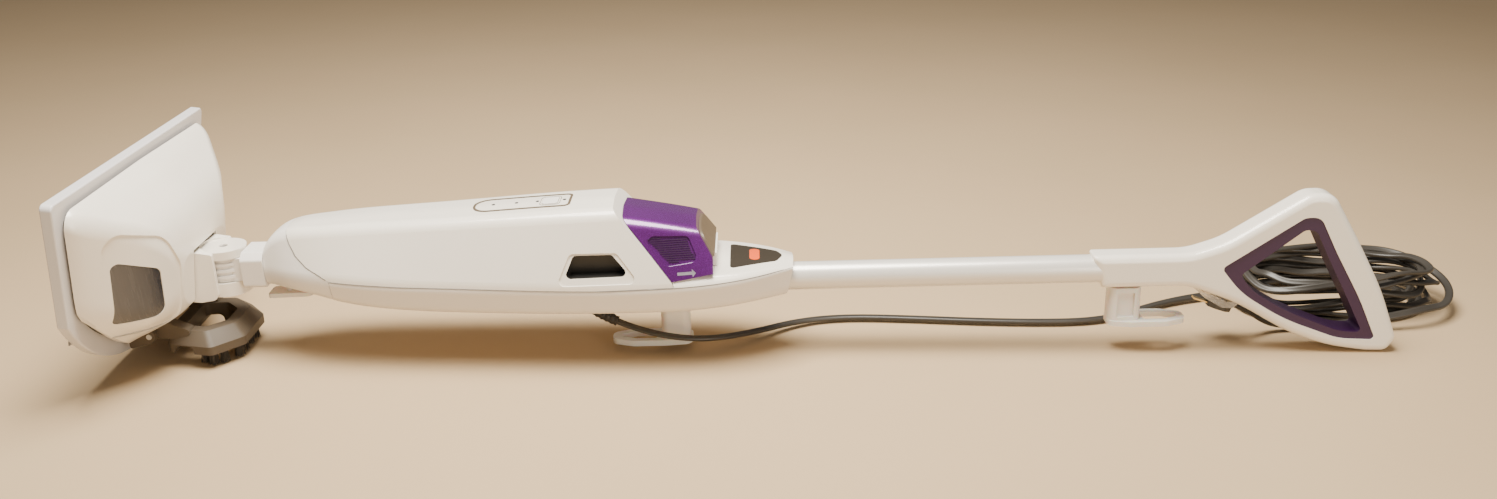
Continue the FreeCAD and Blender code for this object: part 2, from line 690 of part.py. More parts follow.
def foot_window(side):
    """Smoky window let into one cheek of the foot cover."""
    pane = window_block(side, -0.3).common(cover_solid(1.6)).cut(cover_solid(3.6))
    return pane


def foot_pins():
    """Two stub pins of the foot hinge."""
    pins = []
    for side in (-1, 1):
        pins.append(rod((PIVOT_N, side * 14, PIVOT_A), (PIVOT_N, side * 44, PIVOT_A), PIN_RADIUS))
    return Part.makeCompound(pins)


def sole_plate():
    """Pad plate with its row of steam outlets."""
    plate = head_plate(0, 0, PLATE_THICKNESS)
    plate = plate.makeFillet(1.5, [e for e in plate.Edges if e.BoundBox.XLength < 0.01])
    for i in range(-4, 5):
        plate = plate.cut(rod((-3, i * 24.0, 96), (20, i * 24.0, 96), 2.5))
    for low, high in STRIP_PLACES:
        plate = plate.cut(box((-1, low[0] - 0.5, low[1] - 0.5), (STRIP_POCKET, high[0] + 0.5, high[1] + 0.5)))
    return plate


def foot_chassis():
    """Tray between the sole plate and the cover."""
    tray = head_plate(17, PLATE_THICKNESS, 19).cut(head_plate(20, 12.5, 30))
    spine = box((12.4, -60, 84), (14.0, 60, 92))
    return tray.fuse(spine).common(head_plate(17, PLATE_THICKNESS, 13).fuse(cover_solid(3.0)))


def steam_manifold():
    """Pipe that spreads the steam over the sole's outlets."""
    bar = rod((16.5, -100, 100), (16.5, 100, 100), 3.5)
    feed = rod((16.5, 0, 100), (PIVOT_N - 25, 0, 100), 3.0)
    return bar.fuse(feed.fuse(rod((16.5, 0, 100), (21, 0, 100), 3.0)))


def pad_strips():
    """Hook strips that hold a cloth pad on the sole."""
    strips = []
    for low, high in STRIP_PLACES:
        strips.append(box((0.1, *low), (STRIP_POCKET, *high)))
    return Part.makeCompound(strips)


# ---------------------------------------------------------------- scrubber, in the object's frame

def mirrored(corners):
    """Outline with its corners repeated on the other side of the middle plane."""
    return corners + [(x, -v) for x, v in reversed(corners)]


def scrubber_frame():
    """Six-sided ring with a bevelled rim that folds out behind the foot, and its two arms."""
    rim = mirrored([(-526, -42), (-483, -51), (-461, -25)])
    crown = mirrored([(-526, -36), (-490, -39), (-470, -19)])
    hole = mirrored([(-515, -25), (-494, -28), (-480, -13)])
    radii = [7] * 6
    ring = plan_prism(rim, radii, SCRUB_LOW, SCRUB_SHOULDER)
    low_wire = rounded_loop([Vector(x, v, SCRUB_SHOULDER) for x, v in rim], radii)
    high_wire = rounded_loop([Vector(x, v, SCRUB_TOP) for x, v in crown], radii)
    ring = ring.fuse(Part.makeLoft([low_wire, high_wire], True, True))
    ring = ring.cut(plan_prism(hole, [5] * 6, 0, 60))
    notch = side_prism([(-521, 5), (-498, 5), (-501, 21), (-517, 21)], [2, 2, 5, 5], -80, 80)
    ring = ring.cut(notch)
    profile = [(-541, 29), (-532, 27), (-512, 26), (-500, 33), (-528, 44), (-541, 37)]
    for low, high in ((-41, -29), (29, 41)):
        ring = ring.fuse(side_prism(profile, [4, 3, 3, 6, 5, 4], low, high))
    return ring.cut(rod((SCRUB_X, -60, SCRUB_Z), (SCRUB_X, 60, SCRUB_Z), 2.5 + PIN_CLEARANCE))


def scrubber_bristles():
    """Tufts under the scrubber ring."""
    tufts = []
    for x, v in [(-496, 33), (-487, 38), (-479, 33), (-470, 20), (-471, 7)]:
        for side in (-1, 1):
            tufts.append(rod((x, side * v, 0.0), (x, side * v, SCRUB_LOW), 3.2))
    return Part.makeCompound(tufts)


def scrubber_pin():
    """Hinge pin of the scrubber, held in the foot's two brackets."""
    return rod((SCRUB_X, -50, SCRUB_Z), (SCRUB_X, 50, SCRUB_Z), 2.5)


def scrubber_bracket(side):
    """Dark bracket behind the foot that holds one end of the scrubber's pin."""
    profile = [(-556, 20), (-534, 26), (-531, 34), (-538, 39), (-556, 39)]
    bracket = side_prism(profile, [2, 5, 5, 5, 2], 42, 49)
    if side < 0:
        bracket = bracket.mirror(Vector(0, 0, 0), Vector(0, 1, 0))
    return bracket


# ---------------------------------------------------------------- tube and handle

def wand_tube():
    """Aluminium tube between body and handle."""
    outer = rod((TUBE_START, 0, TUBE_AXIS_W), (TUBE_END, 0, TUBE_AXIS_W), TUBE_RADIUS)
    return outer.cut(rod((TUBE_START, 0, TUBE_AXIS_W), (TUBE_END, 0, TUBE_AXIS_W), TUBE_RADIUS - TUBE_WALL))


@functools.cache
def handle_solid():
    """Whole handle: sleeve and closed loop with rounded rims, bored for the tube."""
    body = side_prism(HANDLE_OUTLINE, HANDLE_RADII, -HANDLE_HALF, HANDLE_HALF)
    body = body.makeFillet(HANDLE_ROUND, [edge for edge in body.Edges if on_handle_face(edge)]).Solids[0]
    body = body.cut(side_prism(LOOP_OUTLINE, LOOP_RADII, -40, 40))
    body = body.cut(rod((HOOK_U, 0, -20), (HOOK_U, 0, -10), 5.0 + PIN_CLEARANCE))
    return body.cut(rod((300, 0, TUBE_AXIS_W), (TUBE_END, 0, TUBE_AXIS_W), TUBE_RADIUS))


def on_handle_face(edge):
    """True for the edges that lie in one of the handle's two side faces."""
    return edge.BoundBox.YLength < 0.01 and abs(edge.CenterOfMass.y) > HANDLE_HALF - 0.01


def handle_half(side):
    """One half of the handle, split on the middle plane."""
    low, high = (-40, 0) if side < 0 else (0, 40)
    return handle_solid().common(box((300, low, -120), (640, high, 120)))


def grip_insert():
    """Purple liner inside the handle loop."""
    outer = side_prism(LOOP_OUTLINE, LOOP_RADII, -HANDLE_HALF + 1.2, HANDLE_HALF - 1.2)
    hole = [
        (448, -4.5), (502, 38), (512, 37), (525, 12), (548, -30), (566, -64), (545, -63), (495, -42),
        (462, -22),
    ]
    return outer.cut(side_prism(hole, [4, 8, 8, 200, 300, 3, 60, 200, 150], -40, 40))


def upper_hook():
    """Cord hook on the handle sleeve; it turns to let the cord drop off."""
    post = plan_prism([(331, -11), (361, -11), (361, 11), (331, 11)], [8, 8, 8, 8], -50, -15.6)
    window = side_prism([(338, -20), (354, -20), (354, -44), (338, -44)], [2, 2, 2, 2], 8.5, 20)
    post = post.cut(window).cut(window.mirror(Vector(0, 0, 0), Vector(0, 1, 0)))
    outline = [(331, -11), (352, -15), (384, -15), (403, -8), (403, 8), (384, 15), (352, 15), (331, 11)]
    hole = [(364, -8), (384, -8), (396, -3), (396, 3), (384, 8), (364, 8)]
    foot = plan_ring(outline, [8, 10, 14, 7, 7, 14, 10, 8], hole, [4, 7, 2.5, 2.5, 7, 4], -52.5, -47.5)
    peg = rod((HOOK_U, 0, -16), (HOOK_U, 0, -12.4), 5.0)
    return post.fuse(foot).fuse(peg)


def lower_hook():
    """Fixed cord hook under the body."""
    post = plan_prism([(-82, -11), (-55, -11), (-55, 11), (-82, 11)], [7, 7, 7, 7], -56, -19.5)
    post = post.cut(keel(0))
    outline = [
        (-128, -7), (-108, -14), (-78, -14), (-53, -11), (-53, 11), (-78, 14), (-108, 14), (-128, 7),
    ]
    hole = [(-120, -3), (-106, -8), (-86, -8), (-86, 8), (-106, 8), (-120, 3)]
    foot = plan_ring(outline, [8, 14, 12, 9, 9, 12, 14, 8], hole, [3, 7, 3, 3, 7, 3], -60.5, -55.0)
    return post.fuse(foot)


def cord_clip():
    """Clear clip under the sleeve that holds the plug's lead."""
    outline = [
        (408, -12), (426, -26), (440, -33.5), (449, -33), (451, -36), (446, -40), (436, -39), (420, -29),
        (404, -14),
    ]
    return side_prism(outline, [1, 8, 6, 1.4, 1.4, 6, 8, 8, 1], -6, 14).cut(handle_solid())


# ---------------------------------------------------------------- works inside the body

def boiler():
    """Cast heater block with its two nipples and a raised lid."""
    block = plan_prism([(-345, -27), (-235, -30), (-235, 30), (-345, 27)], [8, 8, 8, 8], 2, 36)
    lid = plan_prism([(-337, -20), (-243, -23), (-243, 23), (-337, 20)], [8, 8, 8, 8], 36, 42)
    outlet = rod((-358, 0, 24), (-344, 0, 24), 3.55)
    inlet = rod((-236, -12, 6), (-225, -12, 6), 3.6)
    return block.fuse(lid).fuse(outlet).fuse(inlet)


def thermostat():
    """Round thermostat clipped on the boiler's lid."""
    return rod((-300, 0, 42), (-300, 0, 48), 8.0).fuse(box((-312, -3, 42), (-288, 3, 43)))


def thermal_fuse():
    """Safety fuse beside the thermostat."""
    return rod((-274, -6, 44.5), (-256, -6, 44.5), 2.5)


def pump():
    """Vibrating pump: coil block on a round barrel with a nipple at each end."""
    barrel = rod((-214, -12, 6), (-136, -12, 6), 9.0)
    coil = plan_prism([(-196, -28), (-156, -28), (-156, 4), (-196, 4)], [4, 4, 4, 4], -9, 22)
    ends = rod((-222, -12, 6), (-128, -12, 6), 3.6)
    return barrel.fuse(coil).fuse(ends)


def pump_feet():
    """Two rubber feet that carry the pump."""
    feet = []
    for u in (-206, -150):
        foot = box((u - 3, -24, -22), (u + 3, 0, 5)).common(keel(WALL))
        feet.append(foot.cut(rod((u - 9, -12, 6), (u + 9, -12, 6), 9.0)))
    return Part.makeCompound(feet)


def control_board():
    """Circuit board under the panel, with its switch and relay."""
    board = box((-240, -22, 60), (-156, 22, 61.6))
    switch = box((-180, -4, 61.6), (-172, 4, 63.2))
    relay = box((-232, 4, 47), (-212, 19, 60))
    return board.fuse(switch).fuse(relay)


def hose(points, radii, radius, bore):
    """Soft hose along a rounded path."""
    path = rounded_path([Vector(*point) for point in points], radii)
    tube = swept(path, radius)
    return tube.cut(swept(path, bore))


def swept(path, radius):
    """Round bar along a path of straight runs and tangent arcs."""
    edge = path.OrderedEdges[0]
    start = edge.valueAt(edge.FirstParameter)
    axis = edge.tangentAt(edge.FirstParameter)
    disc = Part.Wire(Part.makeCircle(radius, start, axis))
    return path.makePipeShell([disc], True, False)


def water_hose():
    """Hose from the tank's socket to the pump."""
    return hose([(-100, 0, 19), (-100, 0, 5), (-118, -12, 6), (-132, -12, 6)], [6.5, 20], 4.8, 3.6)


def feed_hose():
    """Hose from the pump to the boiler."""
    tube = rod((-232, -12, 6), (-216, -12, 6), 4.8)
    return tube.cut(rod((-232, -12, 6), (-216, -12, 6), 3.6))


def steam_hose():
    """Steam hose from the boiler to the neck stem."""
    return hose([(-350, 0, 24), (-380, 0, 23), (-421, 0, 25)], [80], 5.5, 3.6)


def wiring_loom():
    """Bundle of wires from the cord's gland past the pump to the board and the boiler."""
    trunk = [Vector(-141, 20, -8), Vector(-160, 28, 0), Vector(-200, 30, 20), Vector(-222, 28, 50)]
    path = rounded_path(trunk, [20, 40])
    branch = rounded_path([Vector(-200, 30, 20), Vector(-232, 36, 30), Vector(-290, 33, 40)], [60])
    return swept(path, 3.0).fuse(swept(branch, 2.4))


def case_screws():
    """Screws that hold the rear shell to the covers."""
    screws = []
    for u, v, low in ((-345, 30, -9), (-225, 38, -12), (-60, 38, -12), (5, 24, -11)):
        for side in (-1, 1):
            head = rod((u, side * v, low), (u, side * v, low + 3.0), 3.6)
            shank = rod((u, side * v, low + 3.0), (u, side * v, low + 15), 1.6)
            screws.append(head.fuse(shank))
    return Part.makeCompound(screws)


def handle_screws():
    """Screws that join the handle halves."""
    screws = []
    for u, w in ((400, 1), (520, 62), (588, -75), (408, 6)):
        screws.append(rod((u, -HANDLE_HALF + 3, w), (u, HANDLE_HALF - 4, w), 1.6))
    return Part.makeCompound(screws)


# ---------------------------------------------------------------- mains cord, in the object's frame

def shifted(points):
    """Route points with the centre shift applied."""
    return [Vector(x + CENTRE_SHIFT, y, z) for x, y, z in points]


def cord_tube(name, route):
    """Cord along straight runs joined by tangent arcs as large as the runs allow."""
    points = shifted(route)
    radii = []
    for i in range(1, len(points) - 1):
        radii.append(turn_radius(points[i - 1], points[i], points[i + 1]))
    path = rounded_path(points, radii)
    tube = swept(path, CORD_RADIUS)
    expected = math.pi * CORD_RADIUS ** 2 * path.Length
    print(name, "length", round(path.Length), "radii", [round(r) for r in radii])
    print(name, "volume over section times length", round(tube.Volume / expected, 4))
    return tube


def cord_coil():
    """Outer shape of the loose hank behind the handle."""
    low_x, high_x, low_y, high_y = COIL_BOX
    outline = [(low_x, low_y), (high_x, low_y), (high_x, high_y), (low_x, high_y)]
    outline = [(x + CENTRE_SHIFT, y) for x, y in outline]
    block = plan_prism(outline, [60, 60, 60, 60], 0, COIL_TOP)
    return block.makeFillet(12, [e for e in block.Edges if e.BoundBox.ZLength < 0.01])


def cord_gland():
    """Tapered strain relief where the cord leaves the rear shell."""
    cone = Part.makeCone(6.5, 4.6, 14, Vector(GLAND_U, GLAND_V, -21), Vector(0.35, 0, -1))
    collar = rod((GLAND_U, GLAND_V, -21), (GLAND_U, GLAND_V, -12), 4.4)
    return cone.cut(keel(0)).fuse(collar)


def plug_body():
    """Moulded plug held by the clip."""
    outline = [(-12, -6), (-5, -8), (5, -8), (12, -3.8), (12, 3.8), (5, 8), (-5, 8), (-12, 6)]
    body = plan_prism(outline, [2, 6, 6, 2, 2, 6, 6, 2], -8, 8)
    body.Placement = PLUG_PLACE
    return body


def plug_blades():
    """Two flat brass blades of the plug."""
    blades = []
    for z in (-5.6, 5.6):
        blades.append(box((-26, -3.2, z - 0.8), (-12, 3.2, z + 0.8)))
    blades = Part.makeCompound(blades)
    blades.Placement = PLUG_PLACE
    return blades


# ---------------------------------------------------------------- writing

def main():
    """Write every piece."""
    os.makedirs("parts", exist_ok=True)
    pieces = {
        "front_cover": front_cover(), "rear_shell": rear_shell(), "deck_cover": deck_cover(),
        "badge_plate": badge_plate(), "lower_end_cap": lower_end_cap(), "release_latch": release_latch(),
        "control_panel": control_panel(), "panel_bezel": panel_bezel(), "steam_button": steam_button(),
        "status_leds": status_leds(), "side_vent_left": side_vent(-1), "side_vent_right": side_vent(1),
        "tank_shell": tank_shell(), "tank_end_plate": tank_end_plate(), "tank_foot": tank_foot(),
        "tank_cap": tank_cap(), "tank_valve": tank_valve(), "tank_socket": tank_socket(),
        "neck_link": neck_link(), "neck_yoke": neck_yoke(), "swivel_pin": swivel_pin(),
        "wand_tube": wand_tube(), "handle_left": handle_half(-1), "handle_right": handle_half(1),
        "grip_insert": grip_insert(), "upper_hook": upper_hook(), "lower_hook": lower_hook(),
        "cord_clip": cord_clip(), "cord_gland": cord_gland(), "boiler": boiler(), "thermostat": thermostat(),
        "thermal_fuse": thermal_fuse(), "pump": pump(), "pump_feet": pump_feet(),
        "control_board": control_board(), "water_hose": water_hose(), "feed_hose": feed_hose(),
        "steam_hose": steam_hose(), "wiring_loom": wiring_loom(), "case_screws": case_screws(),
        "handle_screws": handle_screws(),
    }
    head_pieces = {
        "foot_cover": foot_cover(), "foot_window_left": foot_window(-1), "foot_window_right": foot_window(1),
        "foot_pins": foot_pins(), "sole_plate": sole_plate(), "foot_chassis": foot_chassis(),
        "steam_manifold": steam_manifold(), "pad_strips": pad_strips(),
    }
    scrub_pieces = {
        "scrubber_frame": scrubber_frame(), "scrubber_bristles": scrubber_bristles(),
        "scrubber_pin": scrubber_pin(), "scrubber_bracket_left": scrubber_bracket(-1),
        "scrubber_bracket_right": scrubber_bracket(1),
    }
    cord_pieces = {
        "cord_lead": cord_tube("cord_lead", LEAD_ROUTE), "cord_coil": cord_coil(),
        "cord_tail": cord_tube("cord_tail", TAIL_ROUTE), "plug_body": plug_body(),
        "plug_blades": plug_blades(),
    }
    groups = ((MOP, pieces), (HEAD, head_pieces), (SCRUB_FRAME, scrub_pieces), (None, cord_pieces))
    for frame, group in groups:
        for name, shape in group.items():
            export(name, shape, frame)


if __name__ == "__main__":
    main()
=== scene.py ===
# %% [markdown]
# # An upright steam mop, lying on its back
#
# The machine has a triangular steam head with a fold-out scrubber, a white body with a purple water
# tank, a pale tube, a loop handle and a loose mains cord. The solid pieces come in from the packed
# model, which fixes every size and place. This lesson adds the light, the finishes, the cord and the
# small things that a solid model leaves out.

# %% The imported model
import json
import math
import random

import bpy
import bmesh
import numpy as np
from mathutils import Matrix, Vector
from mathutils.bvhtree import BVHTree


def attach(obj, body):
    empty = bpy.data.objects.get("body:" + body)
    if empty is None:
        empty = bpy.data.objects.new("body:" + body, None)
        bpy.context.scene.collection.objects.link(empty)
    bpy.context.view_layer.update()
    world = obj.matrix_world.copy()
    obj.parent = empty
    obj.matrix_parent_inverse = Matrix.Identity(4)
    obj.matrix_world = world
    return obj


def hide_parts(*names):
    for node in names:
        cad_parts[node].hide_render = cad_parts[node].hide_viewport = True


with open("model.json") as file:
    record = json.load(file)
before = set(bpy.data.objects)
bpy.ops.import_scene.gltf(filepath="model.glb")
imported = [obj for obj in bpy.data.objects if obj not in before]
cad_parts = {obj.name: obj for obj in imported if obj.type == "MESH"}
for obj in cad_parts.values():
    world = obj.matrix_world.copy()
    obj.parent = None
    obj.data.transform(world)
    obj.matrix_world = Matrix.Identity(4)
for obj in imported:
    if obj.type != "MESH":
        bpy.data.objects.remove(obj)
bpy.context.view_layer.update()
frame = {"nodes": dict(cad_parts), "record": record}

# %% [markdown]
# ## Places
#
# The body, tube and handle are drawn along a line that rises by a degree and a half, and the head
# leans over by nearly seven degrees. Two matrices turn a measure taken along the mop, or out from the
# sole, into the model's own frame. Everything is in metres, so a helper takes millimetres.

# %% Two working frames
LENGTH_SHIFT = -0.0125
GLAND = (-141.0, -11.0)
MOP = Matrix.Translation((LENGTH_SHIFT, 0, 0.0695)) @ Matrix.Rotation(math.radians(-1.5), 4, "Y")
HEAD = Matrix.Translation((-0.5759 + LENGTH_SHIFT, 0, 0.0095)) @ Matrix.Rotation(math.radians(6.8), 4, "Y")


def mm(frame_matrix, x, y, z):
    """A point given in millimetres in one of the working frames."""
    return frame_matrix @ Vector((x / 1000, y / 1000, z / 1000))


# %% [markdown]
# ## Camera
#
# The machine is seen from its side, a little above, from about a metre away, with a fairly wide lens.
# A plain camera turned down by 21 degrees does it. There is no shift and no blur.

# %% Camera
camera = bpy.data.objects.new("camera", bpy.data.cameras.new("camera"))
camera.data.lens = 31.62
camera.data.sensor_width = 36
camera.data.sensor_fit = "HORIZONTAL"
camera.location = (LENGTH_SHIFT, -1.121, 0.5275)
camera.rotation_euler = (math.radians(69), 0, 0)
bpy.context.scene.collection.objects.link(camera)
bpy.context.scene.camera = camera
print("camera of", round(camera.data.lens, 1), "mm")

# %% [markdown]
# ## Node graphs as expressions
#
# A finish is a graph of nodes, and so is a Geometry Nodes tree. Wired by hand they are hard to read,
# so one small class wraps a socket and lets it be added and multiplied. Each operation makes its Math
# node. A second class owns the graph, and its `node` method makes every other node from its type, its
# settings and the values or links of its sockets.

# %% Signals and graphs
class Signal:
    """A socket that can be used in sums."""

    def __init__(self, graph, socket):
        self.graph = graph
        self.socket = socket

    def __add__(self, other):
        return self.graph.math("ADD", self, other)

    def __radd__(self, other):
        return self.graph.math("ADD", other, self)

    def __sub__(self, other):
        return self.graph.math("SUBTRACT", self, other)

    def __rsub__(self, other):
        return self.graph.math("SUBTRACT", other, self)

    def __mul__(self, other):
        return self.graph.math("MULTIPLY", self, other)

    def __rmul__(self, other):
        return self.graph.math("MULTIPLY", other, self)

    def __gt__(self, other):
        return self.graph.math("GREATER_THAN", self, other)

    def part(self, name):
        """Another output of the same node."""
        return Signal(self.graph, self.socket.node.outputs[name])


class Graph:
    """A node tree that is filled through one method."""

    def __init__(self, tree):
        self.tree = tree

    def feed(self, socket, value):
        """Link a signal to a socket, or set a plain value on it."""
        if isinstance(value, Signal):
            self.tree.links.new(value.socket, socket)
        else:
            socket.default_value = value

    def node(self, kind, values=None, out=0, **settings):
        """Make a node, set it up, and return one of its outputs."""
        made = self.tree.nodes.new(kind)
        for name, value in settings.items():
            setattr(made, name, value)
        for key, value in (values or {}).items():
            self.feed(made.inputs[key], value)
        return Signal(self, made.outputs[out])

    def math(self, operation, a, b):
        """A Math node of one operation on two values."""
        return self.node("ShaderNodeMath", {0: a, 1: b}, operation=operation)


# %% [markdown]
# ## Finishes
#
# Real mouldings are never one flat colour. Their pores catch the light, a faint cloudiness runs
# through the resin, and hands leave long soft wipe marks that change only the gloss. One recipe builds
# all of that from noise on the object's own coordinates, so the pattern stays on the piece when it
# moves, and a finish changes only a few numbers.

# %% The recipe for a moulded finish
def shade_of(colour, amount):
    """A colour made lighter or darker, as the four numbers that a socket takes."""
    return tuple(min(1.0, max(0.0, c * amount)) for c in colour) + (1.0,)


class Finish(Graph):
    """A material with a single surface shader."""

    def __init__(self, name, **fixed):
        self.material = bpy.data.materials.new(name)
        self.material.use_nodes = True
        super().__init__(self.material.node_tree)
        self.surface = self.tree.nodes["Principled BSDF"]
        self.place = self.node("ShaderNodeTexCoord", out="Object")
        for name, value in fixed.items():
            self.surface.inputs[name.replace("_", " ")].default_value = value

    def give(self, name, value):
        """Feed one socket of the surface."""
        self.feed(self.surface.inputs[name], value)

    def noise(self, scale, detail=2.0, stretch=None):
        """Noise from 0 to 1 over the piece, stretched along an axis if wanted."""
        place = self.place
        if stretch:
            place = self.node("ShaderNodeMapping", {"Vector": place, "Scale": stretch})
        return self.node("ShaderNodeTexNoise", {"Vector": place, "Scale": scale, "Detail": detail})

    def between(self, low, high, mask):
        """A colour between two, by a mask."""
        return self.node("ShaderNodeMix", {0: mask, 6: low, 7: high}, out=2, data_type="RGBA")

    def relief(self, height, strength, depth):
        """Small relief under the surface's normal."""
        bump = self.node("ShaderNodeBump", {"Height": height, "Strength": strength, "Distance": depth})
        self.give("Normal", bump)


def moulded(name, colour, rough, pores=0.12, cloud=0.05, wipes=0.10, fineness=1500.0, **fixed):
    """A moulded plastic or rubber finish."""
    finish = Finish(name, **fixed)
    haze = finish.noise(11.0, 3.0)
    wiped = finish.noise(30.0, 2.0, stretch=(0.25, 2.2, 2.2))
    finish.give("Base Color", finish.between(shade_of(colour, 1 - cloud), shade_of(colour, 1 + cloud), haze))
    finish.give("Roughness", rough - 0.5 * wipes + wipes * wiped)
    finish.relief(finish.noise(fineness, 1.0), pores, 0.0002)
    return finish.material


# %% [markdown]
# The white shell is glossy in front and satin at the back and on the joints. It is a warm white. The
# clear varnish-like gloss on the front is a coat over a rougher base, which keeps the soft falloff of
# white plastic and still shows a crisp highlight.

# %% White and grey mouldings
WHITE = (0.88, 0.83, 0.74)
FINISHES = {
    "white_gloss": moulded(
        "white_gloss", WHITE, 0.30, pores=0.04, cloud=0.012, Coat_Weight=0.6, Coat_Roughness=0.08
    ),
    "white_satin": moulded("white_satin", (0.80, 0.77, 0.73), 0.40, pores=0.08, cloud=0.015, Coat_Weight=0.15),
    # rear_white is the shell's white made darker: painted shade for the shade that the rear shell lies in
    "rear_white": moulded("rear_white", (0.78, 0.74, 0.69), 0.42, pores=0.10, cloud=0.02),
    "hook_beige": moulded("hook_beige", (0.74, 0.70, 0.65), 0.34, pores=0.05, Subsurface_Weight=0.25),
    "sole_grey": moulded("sole_grey", (0.70, 0.68, 0.68), 0.36, pores=0.10, cloud=0.02, Coat_Weight=0.2),
    "taupe_gloss": moulded("taupe_gloss", (0.115, 0.085, 0.055), 0.36, pores=0.05, Coat_Weight=0.1),
    "badge_brown": moulded("badge_brown", (0.030, 0.024, 0.017), 0.45, pores=0.05, Specular_IOR_Level=0.25),
    "scrub_taupe": moulded(
        "scrub_taupe", (0.088, 0.068, 0.047), 0.52, pores=0.45, cloud=0.10, Specular_IOR_Level=0.35
    ),
    # chassis_dark is near-black: painted shade for the shadowed undercut between the sole plate and the head's
    # cover, where the chassis sits
    "chassis_dark": moulded("chassis_dark", (0.018, 0.017, 0.016), 0.40, pores=0.20, cloud=0.15),
    "plug_black": moulded("plug_black", (0.045, 0.040, 0.034), 0.40, pores=0.20, cloud=0.08, Coat_Weight=0.15),
    "pump_black": moulded("pump_black", (0.02, 0.02, 0.02), 0.45, pores=0.25, cloud=0.2),
    "rubber_black": moulded("rubber_black", (0.022, 0.02, 0.018), 0.60, pores=0.35, cloud=0.2),
    "grip_purple": moulded("grip_purple", (0.030, 0.006, 0.042), 0.46, pores=0.30, cloud=0.08, fineness=2600.0),
    "led_amber": moulded("led_amber", (0.012, 0.012, 0.020), 0.35, pores=0.02, Specular_IOR_Level=0.3),
    "hose_silicone": moulded("hose_silicone", (0.66, 0.62, 0.54), 0.45, Subsurface_Weight=0.3),
}
print("made", len(FINISHES), "mouldings")

# %% [markdown]
# The tank's plastic holds fine mica. Its flakes scatter a brighter violet inside a deep purple, under a
# very clear coat. A cell pattern at a tenth of a millimetre gives the flakes, and a slow cloud makes the
# tone drift as it does in a thick translucent wall.

# %% The tank's purple
tank = Finish("tank_purple", Coat_Weight=1.0, Coat_Roughness=0.04, IOR=1.5)
flakes = tank.node("ShaderNodeTexVoronoi", {"Vector": tank.place, "Scale": 2600.0}, out="Color")
spark = tank.node("ShaderNodeSeparateColor", {"Color": flakes})
depth = tank.noise(16.0, 3.0)
body_colour = tank.between((0.062, 0.004, 0.088, 1), (0.105, 0.009, 0.150, 1), depth)
tank.give("Base Color", tank.between(body_colour, (0.22, 0.03, 0.36, 1), (spark > 0.86) * 0.45))
tank.give("Roughness", 0.24 + 0.10 * spark)
tank.give("Metallic", 0.25 + 0.25 * (spark > 0.6))
tank.relief(tank.noise(900.0, 1.0), 0.05, 0.0001)
FINISHES["tank_purple"] = tank.material

# %% [markdown]
# The windows in the head's cheeks are smoky and streaked, like brushed film behind clear plastic. The streaks
# run down the cheek, so the noise is squeezed across it. A painted reflection also makes each window's colour
# lighter towards its end farther from the body. The cord clip is nearly clear.

# %% Smoky window and clear clip
window = Finish("smoke_window", Coat_Weight=0.35, Coat_Roughness=0.08)
streaks = window.noise(60.0, 4.0, stretch=(9.0, 2.0, 0.35))
tone = window.noise(14.0, 1.0, stretch=(3.0, 1.0, 0.3))
run = window.node("ShaderNodeSeparateXYZ", {"Vector": window.place})
# painted reflection: the window's colour is made lighter towards its end farther from the body
painted_reflection_ramp = window.node(
    "ShaderNodeMapRange", {"Value": run, "From Min": -0.552, "From Max": -0.520, "To Min": 0.85, "To Max": 0.0}
)
streaks_plus_painted_light = painted_reflection_ramp * 0.7 + streaks * 0.35 + tone * 0.15 - 0.15
window.give("Base Color", window.between((0.014, 0.018, 0.028, 1), (0.15, 0.14, 0.135, 1), streaks_plus_painted_light))
window.give("Roughness", 0.16 + 0.2 * streaks)
window.relief(streaks, 0.15, 0.0002)
FINISHES["smoke_window"] = window.material

clip = Finish("clear_clip", IOR=1.45, Transmission_Weight=0.75, Coat_Weight=0.3)
clip.give("Base Color", clip.between((0.80, 0.76, 0.70, 1), (0.90, 0.87, 0.82, 1), clip.noise(40.0)))
clip.give("Roughness", 0.14 + 0.12 * clip.noise(90.0))
FINISHES["clear_clip"] = clip.material

# %% [markdown]
# Metals need direction. A brushed pin shows fine lines round it and cast metal shows blotches, so both
# use stretched or coarse noise in the roughness. The tube is aluminium under a pale enamel, which is a
# half-metal with a soft coat.

# %% Metals and the odd ones
def metal(name, colour, rough, stretch, scale=300.0, **fixed):
    """A bare metal with brushed or cast relief."""
    finish = Finish(name, Metallic=1.0, **fixed)
    grain = finish.noise(scale, 3.0, stretch=stretch)
    dull, bright = shade_of(colour, 0.82), shade_of(colour, 1.08)
    finish.give("Base Color", finish.between(dull, bright, finish.noise(25.0)))
    finish.give("Roughness", rough + 0.2 * grain)
    finish.relief(grain, 0.12, 0.0001)
    return finish.material


FINISHES["pin_steel"] = metal("pin_steel", (0.60, 0.60, 0.61), 0.22, (0.1, 4.0, 4.0))
FINISHES["blade_brass"] = metal("blade_brass", (0.78, 0.60, 0.30), 0.20, (0.2, 3.0, 3.0))
FINISHES["cast_alu"] = metal("cast_alu", (0.58, 0.58, 0.58), 0.42, (1.0, 1.0, 1.0), scale=160.0)
FINISHES["tube_metal"] = moulded(
    "tube_metal", (0.80, 0.77, 0.72), 0.30, pores=0.03, cloud=0.015, Metallic=0.25, Coat_Weight=0.4
)

board = Finish("board_green", Coat_Weight=0.5)
tracks = board.node("ShaderNodeTexBrick", {"Vector": board.place, "Scale": 180.0}, out="Fac")
board.give("Base Color", board.between((0.01, 0.10, 0.04, 1), (0.35, 0.25, 0.06, 1), tracks * 0.5))
board.give("Roughness", 0.3 + 0.2 * tracks)
FINISHES["board_green"] = board.material

